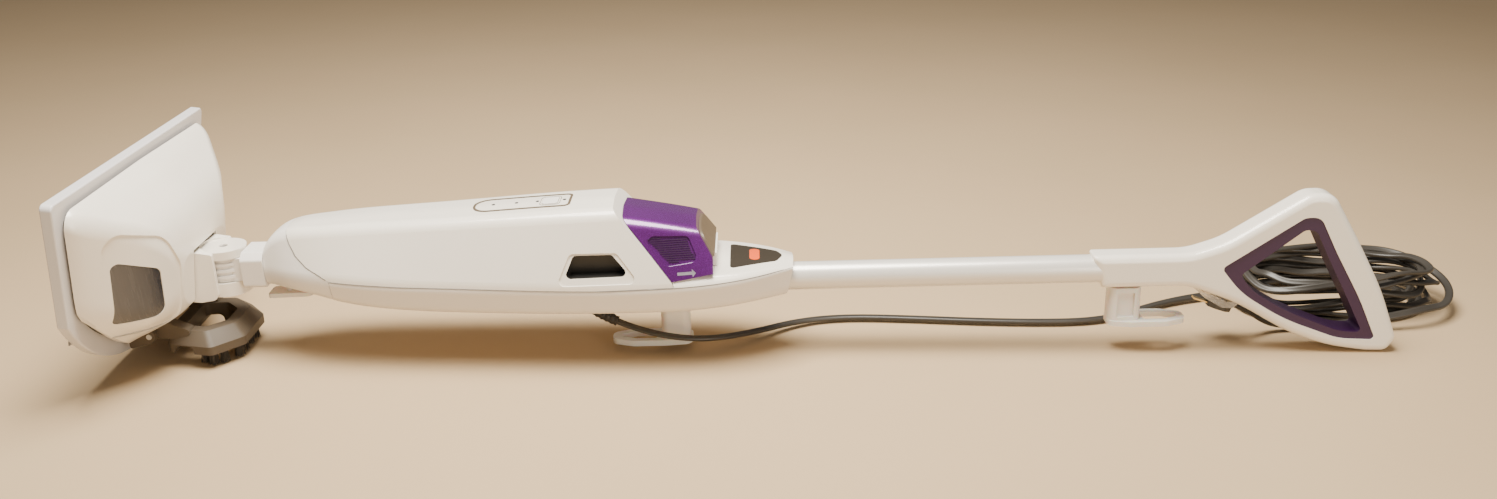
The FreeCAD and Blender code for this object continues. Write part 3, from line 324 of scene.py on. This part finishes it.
strip = Finish("strip_grey", Sheen_Weight=0.6)
hooks = strip.node("ShaderNodeTexVoronoi", {"Vector": strip.place, "Scale": 700.0}, out="Distance")
strip.give("Base Color", strip.between((0.10, 0.10, 0.10, 1), (0.34, 0.33, 0.33, 1), hooks))
strip.give("Roughness", 0.75 + 0.2 * hooks)
strip.relief(hooks, 0.8, 0.0008)
FINISHES["strip_grey"] = strip.material

bristle_finish = moulded("bristle_dark", (0.035, 0.030, 0.025), 0.38, pores=0.1, cloud=0.3)
FINISHES["bristle_dark"] = bristle_finish
print("finishes:", len(FINISHES))

# %% [markdown]
# The mains cord is two round cores moulded side by side. It is dark grey, with the waxy gloss of
# handled vinyl, and fine die lines run along it. The pattern follows the cord by its own UV map: U goes
# round the section and V along the length in metres.

# %% Cord vinyl
vinyl = Finish("cord_grey", Coat_Weight=0.15, Coat_Roughness=0.25)
along = vinyl.node("ShaderNodeUVMap", uv_map="sweep")
drawn = vinyl.node("ShaderNodeMapping", {"Vector": along, "Scale": (60.0, 4.0, 1.0)})
lines = vinyl.node("ShaderNodeTexNoise", {"Vector": drawn, "Scale": 1.0, "Detail": 2.0})
worn = vinyl.noise(22.0, 3.0)
vinyl.give("Base Color", vinyl.between((0.022, 0.019, 0.016, 1), (0.052, 0.046, 0.038, 1), worn))
vinyl.give("Roughness", 0.34 + 0.16 * lines)
vinyl.relief(lines, 0.15, 0.0002)
FINISHES["cord_grey"] = vinyl.material

# %% [markdown]
# ## Dressing the solid pieces
#
# Each solid piece names its material slot in the imported record, so the finishes go on by name. A slot that
# has no finish stops the script at its lookup.

# %% Finishes on the solid pieces
for row in frame["record"]["subparts"]:
    piece = frame["nodes"][row["node"]]
    for place in range(len(piece.data.materials)):
        piece.data.materials[place] = FINISHES[row["material_slot"]]
for name in ("scrubber_bracket_left", "scrubber_bracket_right"):
    frame["nodes"][name].data.materials[0] = FINISHES["scrub_taupe"]

# %% [markdown]
# ## The mains cord
#
# The cord leaves the body at the back, curls down to the surface, runs beside the tube, and ends in a
# loose hank behind the handle, where its plug comes forward to the clip. It is one length, so it is
# one spline. The first and last points are where the solid model has the cord. Between them are the
# hank's turns: long ovals that differ in size and lean, wound clockwise.

# %% The route of the cord, seen from above
LEAD = [
    (-140.5, -11.0, 42.0), (-131.0, -12.0, 36.0), (-109.0, -18.0, 28.5), (-82.0, -23.0, 22.5),
    (-52.0, -23.0, 18.0), (-24.0, -11.0, 14.0), (8.0, 14.0, 9.0), (38.0, 40.0, 5.5), (70.0, 55.0, 4.0),
    (109.0, 59.0, 4.0), (166.0, 55.0, 4.0), (223.0, 49.5, 4.0), (280.0, 47.0, 4.0), (328.0, 49.0, 4.0),
    (366.0, 62.0, 4.0), (398.0, 84.0, 4.0), (434.0, 101.0, 4.5), (471.0, 112.0, 5.0),
    (502.0, 126.0, 5.0), (532.0, 146.0, 5.0),
]
TAIL = [
    (552.0, 36.5, 4.5), (522.0, 36.0, 5.0), (503.0, 34.0, 7.5), (487.0, 29.0, 16.0),
    (473.0, 24.0, 27.5), (457.4, 22.1, 34.3),
]
LAST_TURN = [
    (600.0, 166.0), (634.0, 168.0), (666.0, 160.0), (690.0, 140.0), (701.0, 112.0), (698.0, 84.0),
    (682.0, 60.0), (654.0, 44.0), (620.0, 37.5), (585.0, 36.5),
]
TURNS = 9
PER_TURN = 20
HANK_SEED = 11
CORD_WIDTH = 7.6
CORD_THICK = 4.8


def hank_plan():
    """The turns of the hank in plan, as points in millimetres."""
    dice = random.Random(HANK_SEED)
    shapes = []
    for turn in range(TURNS + 2):
        lean = math.radians(dice.uniform(4, 24) * (1 if turn % 2 else -1))
        shapes.append((
            dice.uniform(574, 600), dice.uniform(102, 116), dice.uniform(72, 104), dice.uniform(34, 58), lean,
        ))
    points = []
    for step in range(int(0.3 * PER_TURN), int((TURNS + 0.15) * PER_TURN)):
        turn, share = divmod(step / PER_TURN, 1.0)
        share = share * share * (3 - 2 * share)
        here, after = shapes[int(turn)], shapes[int(turn) + 1]
        cx, cy, half_x, half_y, lean = [(1 - share) * a + share * b for a, b in zip(here, after)]
        angle = math.pi - 2 * math.pi * step / PER_TURN
        c, s = math.cos(angle), math.sin(angle)
        x = half_x * math.copysign(abs(c) ** 0.85, c)
        y = half_y * math.copysign(abs(s) ** 0.85, s)
        cos_lean, sin_lean = math.cos(lean), math.sin(lean)
        points.append((cx + x * cos_lean - y * sin_lean, cy + x * sin_lean + y * cos_lean))
    return points + LAST_TURN


# %% [markdown]
# A strand can't pass through another one, so each turn is laid over those before it. Where the plan of
# a turn comes within a cord's width of an earlier strand, its height there is that strand's height plus
# one cord. The heights between are then raised until the cord climbs and drops gently.

# %% Laying the turns on each other
def spline_points(points, fine=6):
    """The smooth line that a spline of order three draws through control points."""
    line = []
    for a, b, c in zip(points, points[1:], points[2:]):
        for k in range(fine):
            t = k / fine
            weights = (0.5 * (1 - t) ** 2, 0.5 + t * (1 - t), 0.5 * t * t)
            line.append(tuple(sum(w * p[i] for w, p in zip(weights, (a, b, c))) for i in range(len(a))))
    return line


def laid_heights(plan, floor=4.0, fine=6):
    """A height for each point of the plan, so that strands lie over each other."""
    flat = np.array(spline_points([plan[0]] + plan + [plan[-1]], fine))
    height = np.full(len(plan), floor)
    placed = np.zeros((0, 3))
    start = 0
    while start < len(plan):
        stop = min(start + PER_TURN // 2, len(plan))
        for i in range(start, stop):
            for sample in flat[i * fine:(i + 1) * fine]:
                gap = np.hypot(placed[:, 0] - sample[0], placed[:, 1] - sample[1])
                near = gap < CORD_WIDTH
                if near.any():
                    rise = placed[near, 2] + 1.04 * CORD_THICK * np.sqrt(1 - (gap[near] / CORD_WIDTH) ** 2)
                    height[i] = max(height[i], rise.max())
        for i in range(max(start, 1), stop):
            height[i] = max(height[i], height[i - 1] - 5.0)
        for i in range(stop - 2, start - 1, -1):
            height[i] = max(height[i], height[i + 1] - 5.0)
        if stop < len(plan):
            ready = flat[start * fine:(stop - 2) * fine]
            z = np.repeat(height[start:stop - 2], fine)
            placed = np.vstack([placed, np.column_stack([ready, z])])
        start = stop - 2 if stop < len(plan) else stop
    return height


plan = hank_plan()
heights = laid_heights(plan)
turn_points = [(x, y, z) for (x, y), z in zip(plan, heights)]
route = [Vector((x / 1000 + LENGTH_SHIFT, y / 1000, z / 1000)) for x, y, z in LEAD + turn_points + TAIL]
print("hank rises to", round(max(heights), 1), "mm with", len(route), "points on the route")

# %% [markdown]
# The spline gives the centreline. The section isn't round, so a curve's own bevel won't do. Instead the
# centreline is read back as a mesh, and a figure-of-eight section is swept along it. The flat side lies
# level, as a flat cord settles, with a slow twist where it is tangled.

# %% Sweeping the flat cord
def centreline(name, points):
    """The smooth line of a route, as a list of points."""
    curve = bpy.data.curves.new(name, "CURVE")
    curve.dimensions = "3D"
    curve.resolution_u = 5
    spline = curve.splines.new("NURBS")
    spline.points.add(len(points) - 1)
    for slot, point in zip(spline.points, points):
        slot.co = (*point, 1.0)
    spline.order_u = 3
    spline.use_endpoint_u = True
    carrier = bpy.data.objects.new(name, curve)
    bpy.context.scene.collection.objects.link(carrier)
    mesh = bpy.data.meshes.new_from_object(carrier.evaluated_get(bpy.context.evaluated_depsgraph_get()))
    line = [v.co.copy() for v in mesh.vertices]
    bpy.data.objects.remove(carrier)
    return line


def eight_section(count=16):
    """The cord's section: two round cores joined by a waist."""
    ring = []
    for k in range(count):
        angle = 2 * math.pi * k / count
        c, s = math.cos(angle), math.sin(angle)
        waist = 1.12 - 0.50 * (1 - abs(c)) ** 3
        ring.append((c * CORD_WIDTH / 2000, s * CORD_THICK / 2000 * waist))
    return ring


def sweep(name, line, section, twist):
    """A closed tube of one section along a line, with a UV map that follows it."""
    shape = bmesh.new()
    rings = []
    travelled = 0.0
    marks = []
    for i, point in enumerate(line):
        ahead = (line[min(i + 1, len(line) - 1)] - line[max(i - 1, 0)]).normalized()
        side = ahead.cross(Vector((0, 0, 1))).normalized()
        up = side.cross(ahead)
        turn = Matrix.Rotation(twist(travelled), 3, ahead)
        rings.append([shape.verts.new(point + turn @ (side * p + up * q)) for p, q in section])
        marks.append(travelled)
        travelled += (line[min(i + 1, len(line) - 1)] - point).length
    layer = shape.loops.layers.uv.new("sweep")
    count = len(section)
    for i in range(len(rings) - 1):
        low, high = rings[i], rings[i + 1]
        for k in range(count):
            face = shape.faces.new((low[k], low[(k + 1) % count], high[(k + 1) % count], high[k]))
            face.smooth = True
            for loop, (u, v) in zip(face.loops, ((k, i), (k + 1, i), (k + 1, i + 1), (k, i + 1))):
                loop[layer].uv = (u / count, marks[v])
    shape.faces.new(rings[0])
    shape.faces.new(reversed(rings[-1]))
    bmesh.ops.recalc_face_normals(shape, faces=shape.faces)
    return finished(name, shape), travelled


def finished(name, shape):
    """Turn a bmesh into a piece of the scene."""
    mesh = bpy.data.meshes.new(name)
    shape.to_mesh(mesh)
    shape.free()
    piece = bpy.data.objects.new(name, mesh)
    bpy.context.scene.collection.objects.link(piece)
    return piece


def cord_twist(distance):
    """How far the flat cord has turned about itself at a distance along it."""
    tangle = min(1.0, max(0.0, (distance - 0.55) / 0.1))
    return tangle * (0.55 * math.sin(distance * 13.0) + 0.45 * math.sin(distance * 29.0 + 1.0))


cord_line = centreline("cord_line", route)
cord, cord_length = sweep("mains_cord", cord_line, eight_section(), cord_twist)
cord.data.materials.append(FINISHES["cord_grey"])
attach(cord, "main_body")
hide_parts("cord_lead", "cord_coil", "cord_tail")
print("cord is", round(cord_length, 2), "m long")

# %% [markdown]
# The cord leaves through a moulded relief: a tapered black sleeve, ringed by grooves so that it bends
# little by little. A turned profile swept along a short line does it, with the radius going in and out.

# %% Strain relief and the cord's facts
def tapered_sleeve(name, line, wide, narrow, grooves):
    """A grooved sleeve along a short line."""
    shape = bmesh.new()
    rings = []
    steps = len(line)
    for i, point in enumerate(line):
        ahead = (line[min(i + 1, steps - 1)] - line[max(i - 1, 0)]).normalized()
        side = ahead.cross(Vector((0, 1, 0))).normalized()
        up = side.cross(ahead)
        share = i / (steps - 1)
        radius = wide + (narrow - wide) * share
        radius *= 1.0 - 0.12 * (0.5 - 0.5 * math.cos(2 * math.pi * grooves * share))
        rings.append([
            shape.verts.new(point + radius * (side * math.cos(a) + up * math.sin(a)))
            for a in [2 * math.pi * k / 24 for k in range(24)]
        ])
    for low, high in zip(rings, rings[1:]):
        for k in range(24):
            face = shape.faces.new((low[k], low[(k + 1) % 24], high[(k + 1) % 24], high[k]))
            face.smooth = True
    shape.faces.new(rings[0])
    shape.faces.new(rings[-1])
    bmesh.ops.recalc_face_normals(shape, faces=shape.faces)
    return finished(name, shape)


mouth = mm(MOP, GLAND[0], GLAND[1], -19)
relief_line = [mouth.lerp(cord_line[0], i / 10) for i in range(10)]
travel = 0.0
for low, high in zip(cord_line, cord_line[1:]):
    if travel < 0.020:
        relief_line += [low.lerp(high, k / 8) for k in range(8)]
    travel += (high - low).length
relief = tapered_sleeve("strain_relief", relief_line, 0.0060, 0.0047, 6)
relief.data.materials.append(FINISHES["rubber_black"])
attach(relief, "main_body")
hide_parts("cord_gland")

# %% [markdown]
# ## Small things laid on the shells
#
# The ribs in the tank's finger hollows, the joint lines between mouldings, the printed mark and the
# arrow all follow a curved surface. A ray cast onto the solid pieces finds that surface, so each of
# these rests on it wherever it bends.

# %% Finding the surface
def surface_of(*names):
    """The outer surface of some solid pieces, ready for ray casts."""
    corners, faces = [], []
    for name in names:
        piece = frame["nodes"][name]
        first = len(corners)
        corners += [piece.matrix_world @ v.co for v in piece.data.vertices]
        faces += [[first + v for v in face.vertices] for face in piece.data.polygons]
    return BVHTree.FromPolygons(corners, faces)


def touch(surface, u, w, side):
    """The point and the normal where a sideways ray meets the surface, at a place in the mop's side view."""
    start = mm(MOP, u, side * 90, w)
    spot, normal, _, _ = surface.ray_cast(start, MOP.to_3x3() @ Vector((0, -side, 0)), 0.089)
    return spot, normal


def from_above(surface, u, v):
    """The point and the normal where a ray from above meets the surface, at a place in the mop's plan."""
    spot, normal, _, _ = surface.ray_cast(mm(MOP, u, v, 110), MOP.to_3x3() @ Vector((0, 0, -1)), 0.2)
    return spot, normal


def inlay(name, rings, thick, lift, finish, body):
    """A thin closed plate on the surface: each ring is an outline of (point, normal) pairs."""
    shape = bmesh.new()
    for ring in rings:
        top = [shape.verts.new(p + n * lift) for p, n in ring]
        low = [shape.verts.new(p - n * thick) for p, n in ring]
        shape.faces.new(top)
        shape.faces.new(list(reversed(low)))
        for k in range(len(ring)):
            m = (k + 1) % len(ring)
            shape.faces.new((top[k], low[k], low[m], top[m]))
    bmesh.ops.recalc_face_normals(shape, faces=shape.faces)
    piece = finished(name, shape)
    piece.data.materials.append(FINISHES[finish])
    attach(piece, body)
    print(name, "is laid in", len(rings), "parts")
    return piece


def bead(name, paths, radius, finish, body):
    """Thin round beads along lines that lie on the surface."""
    section = [(radius * math.cos(a), radius * math.sin(a)) for a in [math.pi * k / 4 for k in range(8)]]
    whole = bmesh.new()
    for path in paths:
        part, _ = sweep(name + "_part", path, section, lambda distance: 0.0)
        whole.from_mesh(part.data)
        bpy.data.objects.remove(part)
    piece = finished(name, whole)
    piece.data.materials.append(FINISHES[finish])
    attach(piece, body)
    return piece


# %% [markdown]
# Where two mouldings meet there is a fine shadow gap, about half a millimetre wide. It reads as a thin grey
# line, and it is what tells the eye that the shell is made of parts. A bead of grey follows each joint, as a
# painted shadow of that gap.

# %% Joint lines
BODY_SEAM = [
    (-371, 23.2), (-307, 18.7), (-218, 15.2), (-130, 12.2), (-86, 12.6), (-42, 14.2), (2, 15.8), (28, 16.6),
    (40, 16.6),
]
CAP_SEAM = [(-413.2, 66), (-408.2, 54), (-402.2, 44), (-392.2, 35), (-380.2, 28.8), (-371.2, 23.2)]
# one grey for the painted shadow in the shell's joints and for the printed outline round the steam button
FINISHES["joint_grey"] = moulded("joint_grey", (0.16, 0.145, 0.13), 0.6)


def stepped(corners, stride):
    """Points along a polyline, evenly spaced."""
    points = []
    for (p0, q0), (p1, q1) in zip(corners, corners[1:]):
        count = max(1, int(math.hypot(p1 - p0, q1 - q0) / stride))
        points += [(p0 + (p1 - p0) * k / count, q0 + (q1 - q0) * k / count) for k in range(count)]
    return points + [corners[-1]]


shells = surface_of("front_cover", "rear_shell", "lower_end_cap", "deck_cover")


def joint_paths(corners):
    """A joint's line on both sides of the body."""
    paths = []
    for side in (-1, 1):
        line = []
        for u, w in stepped(corners, 3.0):
            near = [touch(shells, u, w + dw, side)[0] for dw in (-1.2, 1.2)]
            if all(near):
                line.append((near[0] + near[1]) / 2)
        paths.append(line)
    return paths


joint_lines = joint_paths(BODY_SEAM) + joint_paths(CAP_SEAM)
# grey beads along each joint: painted shadow of the gap between mouldings
bead("painted_joint_shadows", joint_lines, 0.00042, "joint_grey", "main_body")

# %% [markdown]
# ## Pieces that repeat
#
# Ribs, bristles, screws and eyelets are each one shape set out many times. A Geometry Nodes tree makes
# the shape from named sizes, turns a copy to stand out from the surface at each place, and joins them.
# The places are the vertices of a small mesh, and each carries the direction that its copy faces.

# %% Setting out copies
class Pattern(Graph):
    """A Geometry Nodes tree that sets one shape out over places."""

    def __init__(self, name, sizes):
        super().__init__(bpy.data.node_groups.new(name, "GeometryNodeTree"))
        face = self.tree.interface
        face.new_socket("Geometry", in_out="INPUT", socket_type="NodeSocketGeometry")
        face.new_socket("Geometry", in_out="OUTPUT", socket_type="NodeSocketGeometry")
        self.sizes = {}
        for label in sizes:
            socket = face.new_socket(label, in_out="INPUT", socket_type="NodeSocketFloat")
            self.sizes[label] = socket.identifier
        self.given = self.node("NodeGroupInput")
        self.values = sizes

    def size(self, label):
        """One named size of the pattern."""
        return self.given.part(label)

    def vector(self, x=0.0, y=0.0, z=0.0):
        """A vector from three sizes."""
        return self.node("ShaderNodeCombineXYZ", {"X": x, "Y": y, "Z": z})

    def moved(self, shape, x=0.0, y=0.0, z=0.0):
        """A shape moved by sizes."""
        return self.node("GeometryNodeTransform", {"Geometry": shape, "Translation": self.vector(x, y, z)})

    def block(self, x, y, z):
        """A box of three sizes, about the origin."""
        return self.node("GeometryNodeMeshCube", {"Size": self.vector(x, y, z)})

    def post(self, radius, height, sides=24):
        """A cylinder that stands on the origin."""
        shape = self.node("GeometryNodeMeshCylinder", {"Vertices": sides, "Radius": radius, "Depth": height})
        return self.moved(shape, z=height * 0.5)

    def minus(self, shape, cutter):
        """One shape cut by another."""
        settings = {"operation": "DIFFERENCE", "solver": "EXACT"}
        return self.node("GeometryNodeMeshBoolean", {0: shape, 1: cutter}, **settings)

    def joined(self, *shapes):
        """Several shapes as one."""
        join = self.node("GeometryNodeJoinGeometry")
        for shape in reversed(shapes):
            self.tree.links.new(shape.socket, join.socket.node.inputs[0])
        return join

    def set_out(self, name, places, shape, finish, body, replaces=()):
        """Copy the shape to (point, direction) places, and return the plain piece."""
        facing = self.node("GeometryNodeInputNamedAttribute", {"Name": "facing"}, data_type="FLOAT_VECTOR")
        turned = self.node("FunctionNodeAlignRotationToVector", {"Vector": facing}, axis="Z")
        copies = self.node(
            "GeometryNodeInstanceOnPoints", {"Points": self.given, "Instance": shape, "Rotation": turned}
        )
        solid = self.node("GeometryNodeRealizeInstances", {"Geometry": copies})
        dressed = self.node("GeometryNodeSetMaterial", {"Geometry": solid, "Material": FINISHES[finish]})
        end = self.tree.nodes.new("NodeGroupOutput")
        self.tree.links.new(dressed.socket, end.inputs[0])
        mesh = bpy.data.meshes.new(name)
        mesh.from_pydata([point for point, direction in places], [], [])
        stored = mesh.attributes.new("facing", "FLOAT_VECTOR", "POINT")
        stored.data.foreach_set("vector", [c for point, direction in places for c in direction])
        piece = bpy.data.objects.new(name, mesh)
        bpy.context.scene.collection.objects.link(piece)
        modifier = piece.modifiers.new(name, "NODES")
        modifier.node_group = self.tree
        for label, value in self.values.items():
            modifier[self.sizes[label]] = value
        made = bpy.data.meshes.new_from_object(piece.evaluated_get(bpy.context.evaluated_depsgraph_get()))
        piece.modifiers.remove(modifier)
        piece.data = made
        if not made.materials:
            made.materials.append(FINISHES[finish])
        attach(piece, body)
        if replaces:
            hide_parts(*replaces)
        print(name, "has", len(places), "copies and", len(made.polygons), "faces")
        return piece


# %% [markdown]
# The finger hollows in the tank's sides are filled with short fine ribs in staggered rows, so that wet
# fingers don't slip. They are darker than the tank, like the grip of the handle.

# %% Ribs of the finger hollows
HOLLOW = [(-94.0, 57.0), (-52.0, 55.0), (-43.0, 34.0), (-70.0, 31.0)]


def inside(u, w, inset):
    """Whether a place in the side view is within the hollow's outline, by a margin."""
    signs = []
    for (u0, w0), (u1, w1) in zip(HOLLOW, HOLLOW[1:] + HOLLOW[:1]):
        length = math.hypot(u1 - u0, w1 - w0)
        signs.append(((u1 - u0) * (w - w0) - (w1 - w0) * (u - u0)) / length < -inset)
    return all(signs)


tank_side = surface_of("tank_shell")
rib_places = []
for side in (-1, 1):
    for row in range(16):
        for column in range(44):
            u, w = -95 + 1.25 * column + 0.62 * (row % 2), 31.0 + 1.75 * row
            if inside(u, w, 2.4):
                spot, normal = touch(tank_side, u, w, side)
                rib_places.append((spot - 0.0003 * normal, normal))
comb = Pattern("comb", {"Rib width": 0.00062, "Rib height": 0.00150, "Rib depth": 0.00105})
rib = comb.block(comb.size("Rib height"), comb.size("Rib width"), comb.size("Rib depth"))
rib = comb.moved(rib, z=comb.size("Rib depth") * 0.5)
comb.set_out("hollow_ribs", rib_places, rib, "grip_purple", "tank")

# %% [markdown]
# Below the hollow a small silver arrow is hot-stamped on each side, and shows which way the tank pulls
# off. It is foil, so it has almost no thickness.

# %% Arrow on the tank
FINISHES["foil_silver"] = metal("foil_silver", (0.62, 0.58, 0.66), 0.30, (1.0, 1.0, 1.0))
ARROW = [
    (-62.0, 26.2), (-49.0, 26.6), (-49.3, 28.6), (-45.6, 25.3), (-48.4, 22.2), (-48.7, 24.2), (-61.8, 23.8),
]
bars = []
for side in (-1, 1):
    bars.append([touch(tank_side, u, w, side) for u, w in ARROW])
inlay("tank_arrow", bars, 0.0003, 0.00012, "foil_silver", "tank")

# %% [markdown]
# The dark plate on the deck carries an orange mark. The maker's own sign isn't copied, so this one is a
# plain rounded bar.

# %% Mark on the dark plate
FINISHES["mark_orange"] = moulded("mark_orange", (0.80, 0.10, 0.012), 0.35, cloud=0.05, Coat_Weight=0.3)
deck_top = surface_of("badge_plate", "deck_cover")
rows = []
for k in range(-14, 15):
    reach = 4.5 * math.sqrt(max(0.0, 1.0 - max(0.0, abs(k) / 14 * 3.0 - 2.0) ** 2)) + 0.05
    rows.append([(6.0 - reach, 13.5 * k / 14), (6.0 + reach, 13.5 * k / 14)])
slices = [[from_above(deck_top, u, v) for u, v in low + high[::-1]] for low, high in zip(rows, rows[1:])]
inlay("deck_mark", slices, 0.0004, 0.00025, "mark_orange", "main_body")

# %% [markdown]
# The steam button is a membrane with a fine dark outline printed round it.

# %% Outline of the button
panel_top = surface_of("control_panel", "front_cover", "steam_button")


def ring_around(low_u, high_u, half_v, corner):
    """A rounded rectangle in plan, as a closed run of places."""
    places = []
    for cu, cv, start in (
        (high_u - corner, half_v - corner, 0), (low_u + corner, half_v - corner, 90),
        (low_u + corner, -half_v + corner, 180), (high_u - corner, -half_v + corner, 270),
    ):
        for k in range(7):
            angle = math.radians(start + 90 * k / 6)
            places.append((cu + corner * math.cos(angle), cv + corner * math.sin(angle)))
    return places + places[:1]


outline = [from_above(panel_top, u, v)[0] for u, v in ring_around(-185.0, -167.0, 11.0, 4.0)]
bead("button_outline", [outline], 0.00035, "joint_grey", "main_body")

# %% [markdown]
# The case screws have round heads with a cross recess. The recess is cut with two crossed blocks.

# %% Case screws
screws = Pattern(
    "cross_screw", {"Head radius": 0.0036, "Head height": 0.0028, "Slot width": 0.0009, "Shank length": 0.014}
)
head = screws.post(screws.size("Head radius"), screws.size("Head height"))
slot_length = screws.size("Head radius") * 1.25
slots = screws.joined(
    screws.block(slot_length, screws.size("Slot width"), 0.0030),
    screws.block(screws.size("Slot width"), slot_length, 0.0030),
)
head = screws.minus(head, screws.moved(slots, z=screws.size("Head height")))
shank = screws.moved(screws.post(0.0016, screws.size("Shank length"), 16), z=screws.size("Shank length") * -1.0)
down = MOP.to_3x3() @ Vector((0, 0, -1))
screw_places = []
for u, v, low in ((-345, 30, -9), (-225, 38, -12), (-60, 38, -12), (5, 24, -11)):
    for side in (-1, 1):
        screw_places.append((mm(MOP, u, side * v, low + 2.8), down))
whole_screw = screws.joined(head, shank)
screws.set_out("cross_screws", screw_places, whole_screw, "pin_steel", "main_body", ["case_screws"])

# %% [markdown]
# A ring of brass lines each steam outlet in the sole, where the hot jet would wear the plastic.

# %% Outlet eyelets
eyelets = Pattern("eyelet", {"Bore": 0.0016, "Flange": 0.0023, "Height": 0.0020})
bore = eyelets.post(eyelets.size("Bore"), eyelets.size("Height") * 2.0)
ring = eyelets.minus(
    eyelets.post(eyelets.size("Flange"), eyelets.size("Height")),
    eyelets.moved(bore, z=eyelets.size("Height") * -0.5),
)
out_of_sole = HEAD.to_3x3() @ Vector((-1, 0, 0))
outlet_places = [(mm(HEAD, 2.1, 24.0 * i, 96.0), out_of_sole) for i in range(-4, 5)]
eyelets.set_out("outlet_eyelets", outlet_places, ring, "blade_brass", "foot")

# %% [markdown]
# Each tuft of the scrubber holds a few dozen stiff bristles that splay a little. They are thin tapered cones,
# spread evenly over the tuft's hole on a spiral, splayed outwards and leaned a little at random, always in the
# same way for the same seed.

# %% Scrubber bristles
TUFTS = [(-496, 33), (-487, 38), (-479, 33), (-470, 20), (-471, 7)]
TUFT_RADIUS = 2.9
STRANDS = 46
GOLDEN_ANGLE = 2.4
dice = random.Random(5)
bristle_places = []
for x, v in TUFTS:
    for side in (-1, 1):
        for strand in range(STRANDS):
            reach, angle = TUFT_RADIUS * math.sqrt(strand / STRANDS), GOLDEN_ANGLE * strand
            dx, dy = reach * math.cos(angle), reach * math.sin(angle)
            root = Vector(((x + dx) / 1000 + LENGTH_SHIFT, (side * v + dy) / 1000, 0.0146))
            tilt = Vector((0.05 * dx + dice.uniform(-0.03, 0.03), 0.05 * dy + dice.uniform(-0.03, 0.03), -1.0))
            bristle_places.append((root, tilt.normalized()))
tuft = Pattern("bristle", {"Root radius": 0.00036, "Tip radius": 0.00022, "Length": 0.0141})
strand = tuft.node("GeometryNodeMeshCone", {
    "Vertices": 6, "Radius Top": tuft.size("Tip radius"), "Radius Bottom": tuft.size("Root radius"),
    "Depth": tuft.size("Length"),
})
tuft.set_out("bristle_tufts", bristle_places, strand, "bristle_dark", "scrubber", ["scrubber_bristles"])

# %% [markdown]
# ## The surface and the light
#
# The machine lies on a wide, pale, warm sheet that runs on past what the camera sees. One wide soft
# lamp hangs above, which gives the long highlights on the white shell and the soft shadow straight
# below the tube. A weaker, warmer one beside the viewer opens up the sides.

# %% Sheet and lamps
def paper_sheet():
    """A wide round floor, its top just under the machine."""
    shape = bmesh.new()
    bmesh.ops.create_circle(shape, cap_ends=True, cap_tris=True, segments=96, radius=6.0)
    bmesh.ops.translate(shape, verts=shape.verts, vec=(0.0, 0.0, -0.0006))
    return finished("paper_sheet", shape)


sheet = paper_sheet()
paper = Finish("pale_paper")
paper.give("Base Color", paper.between((0.46, 0.33, 0.19, 1), (0.51, 0.37, 0.22, 1), paper.noise(3.0, 4.0)))
paper.give("Roughness", 0.8 + 0.1 * paper.noise(40.0))
sheet.data.materials.append(paper.material)


def lamp(name, place, aim, size, power, colour):
    """A square soft lamp that points at a place."""
    data = bpy.data.lights.new(name, "AREA")
    data.size = size
    data.energy = power
    data.color = colour
    holder = bpy.data.objects.new(name, data)
    holder.location = place
    holder.rotation_euler = (Vector(aim) - Vector(place)).to_track_quat("-Z", "Y").to_euler()
    bpy.context.scene.collection.objects.link(holder)


lamp("overhead", (-0.15, -0.12, 1.45), (0.0, 0.0, 0.0), 0.85, 78.0, (1.0, 0.94, 0.84))
lamp("beside_viewer", (1.1, -1.5, 0.45), (0.0, 0.0, 0.08), 0.9, 15.0, (1.0, 0.90, 0.76))
world = bpy.data.worlds.new("soft_room")
world.use_nodes = True
world.node_tree.nodes["Background"].inputs["Color"].default_value = (1.0, 0.93, 0.84, 1.0)
world.node_tree.nodes["Background"].inputs["Strength"].default_value = 0.22
bpy.context.scene.world = world
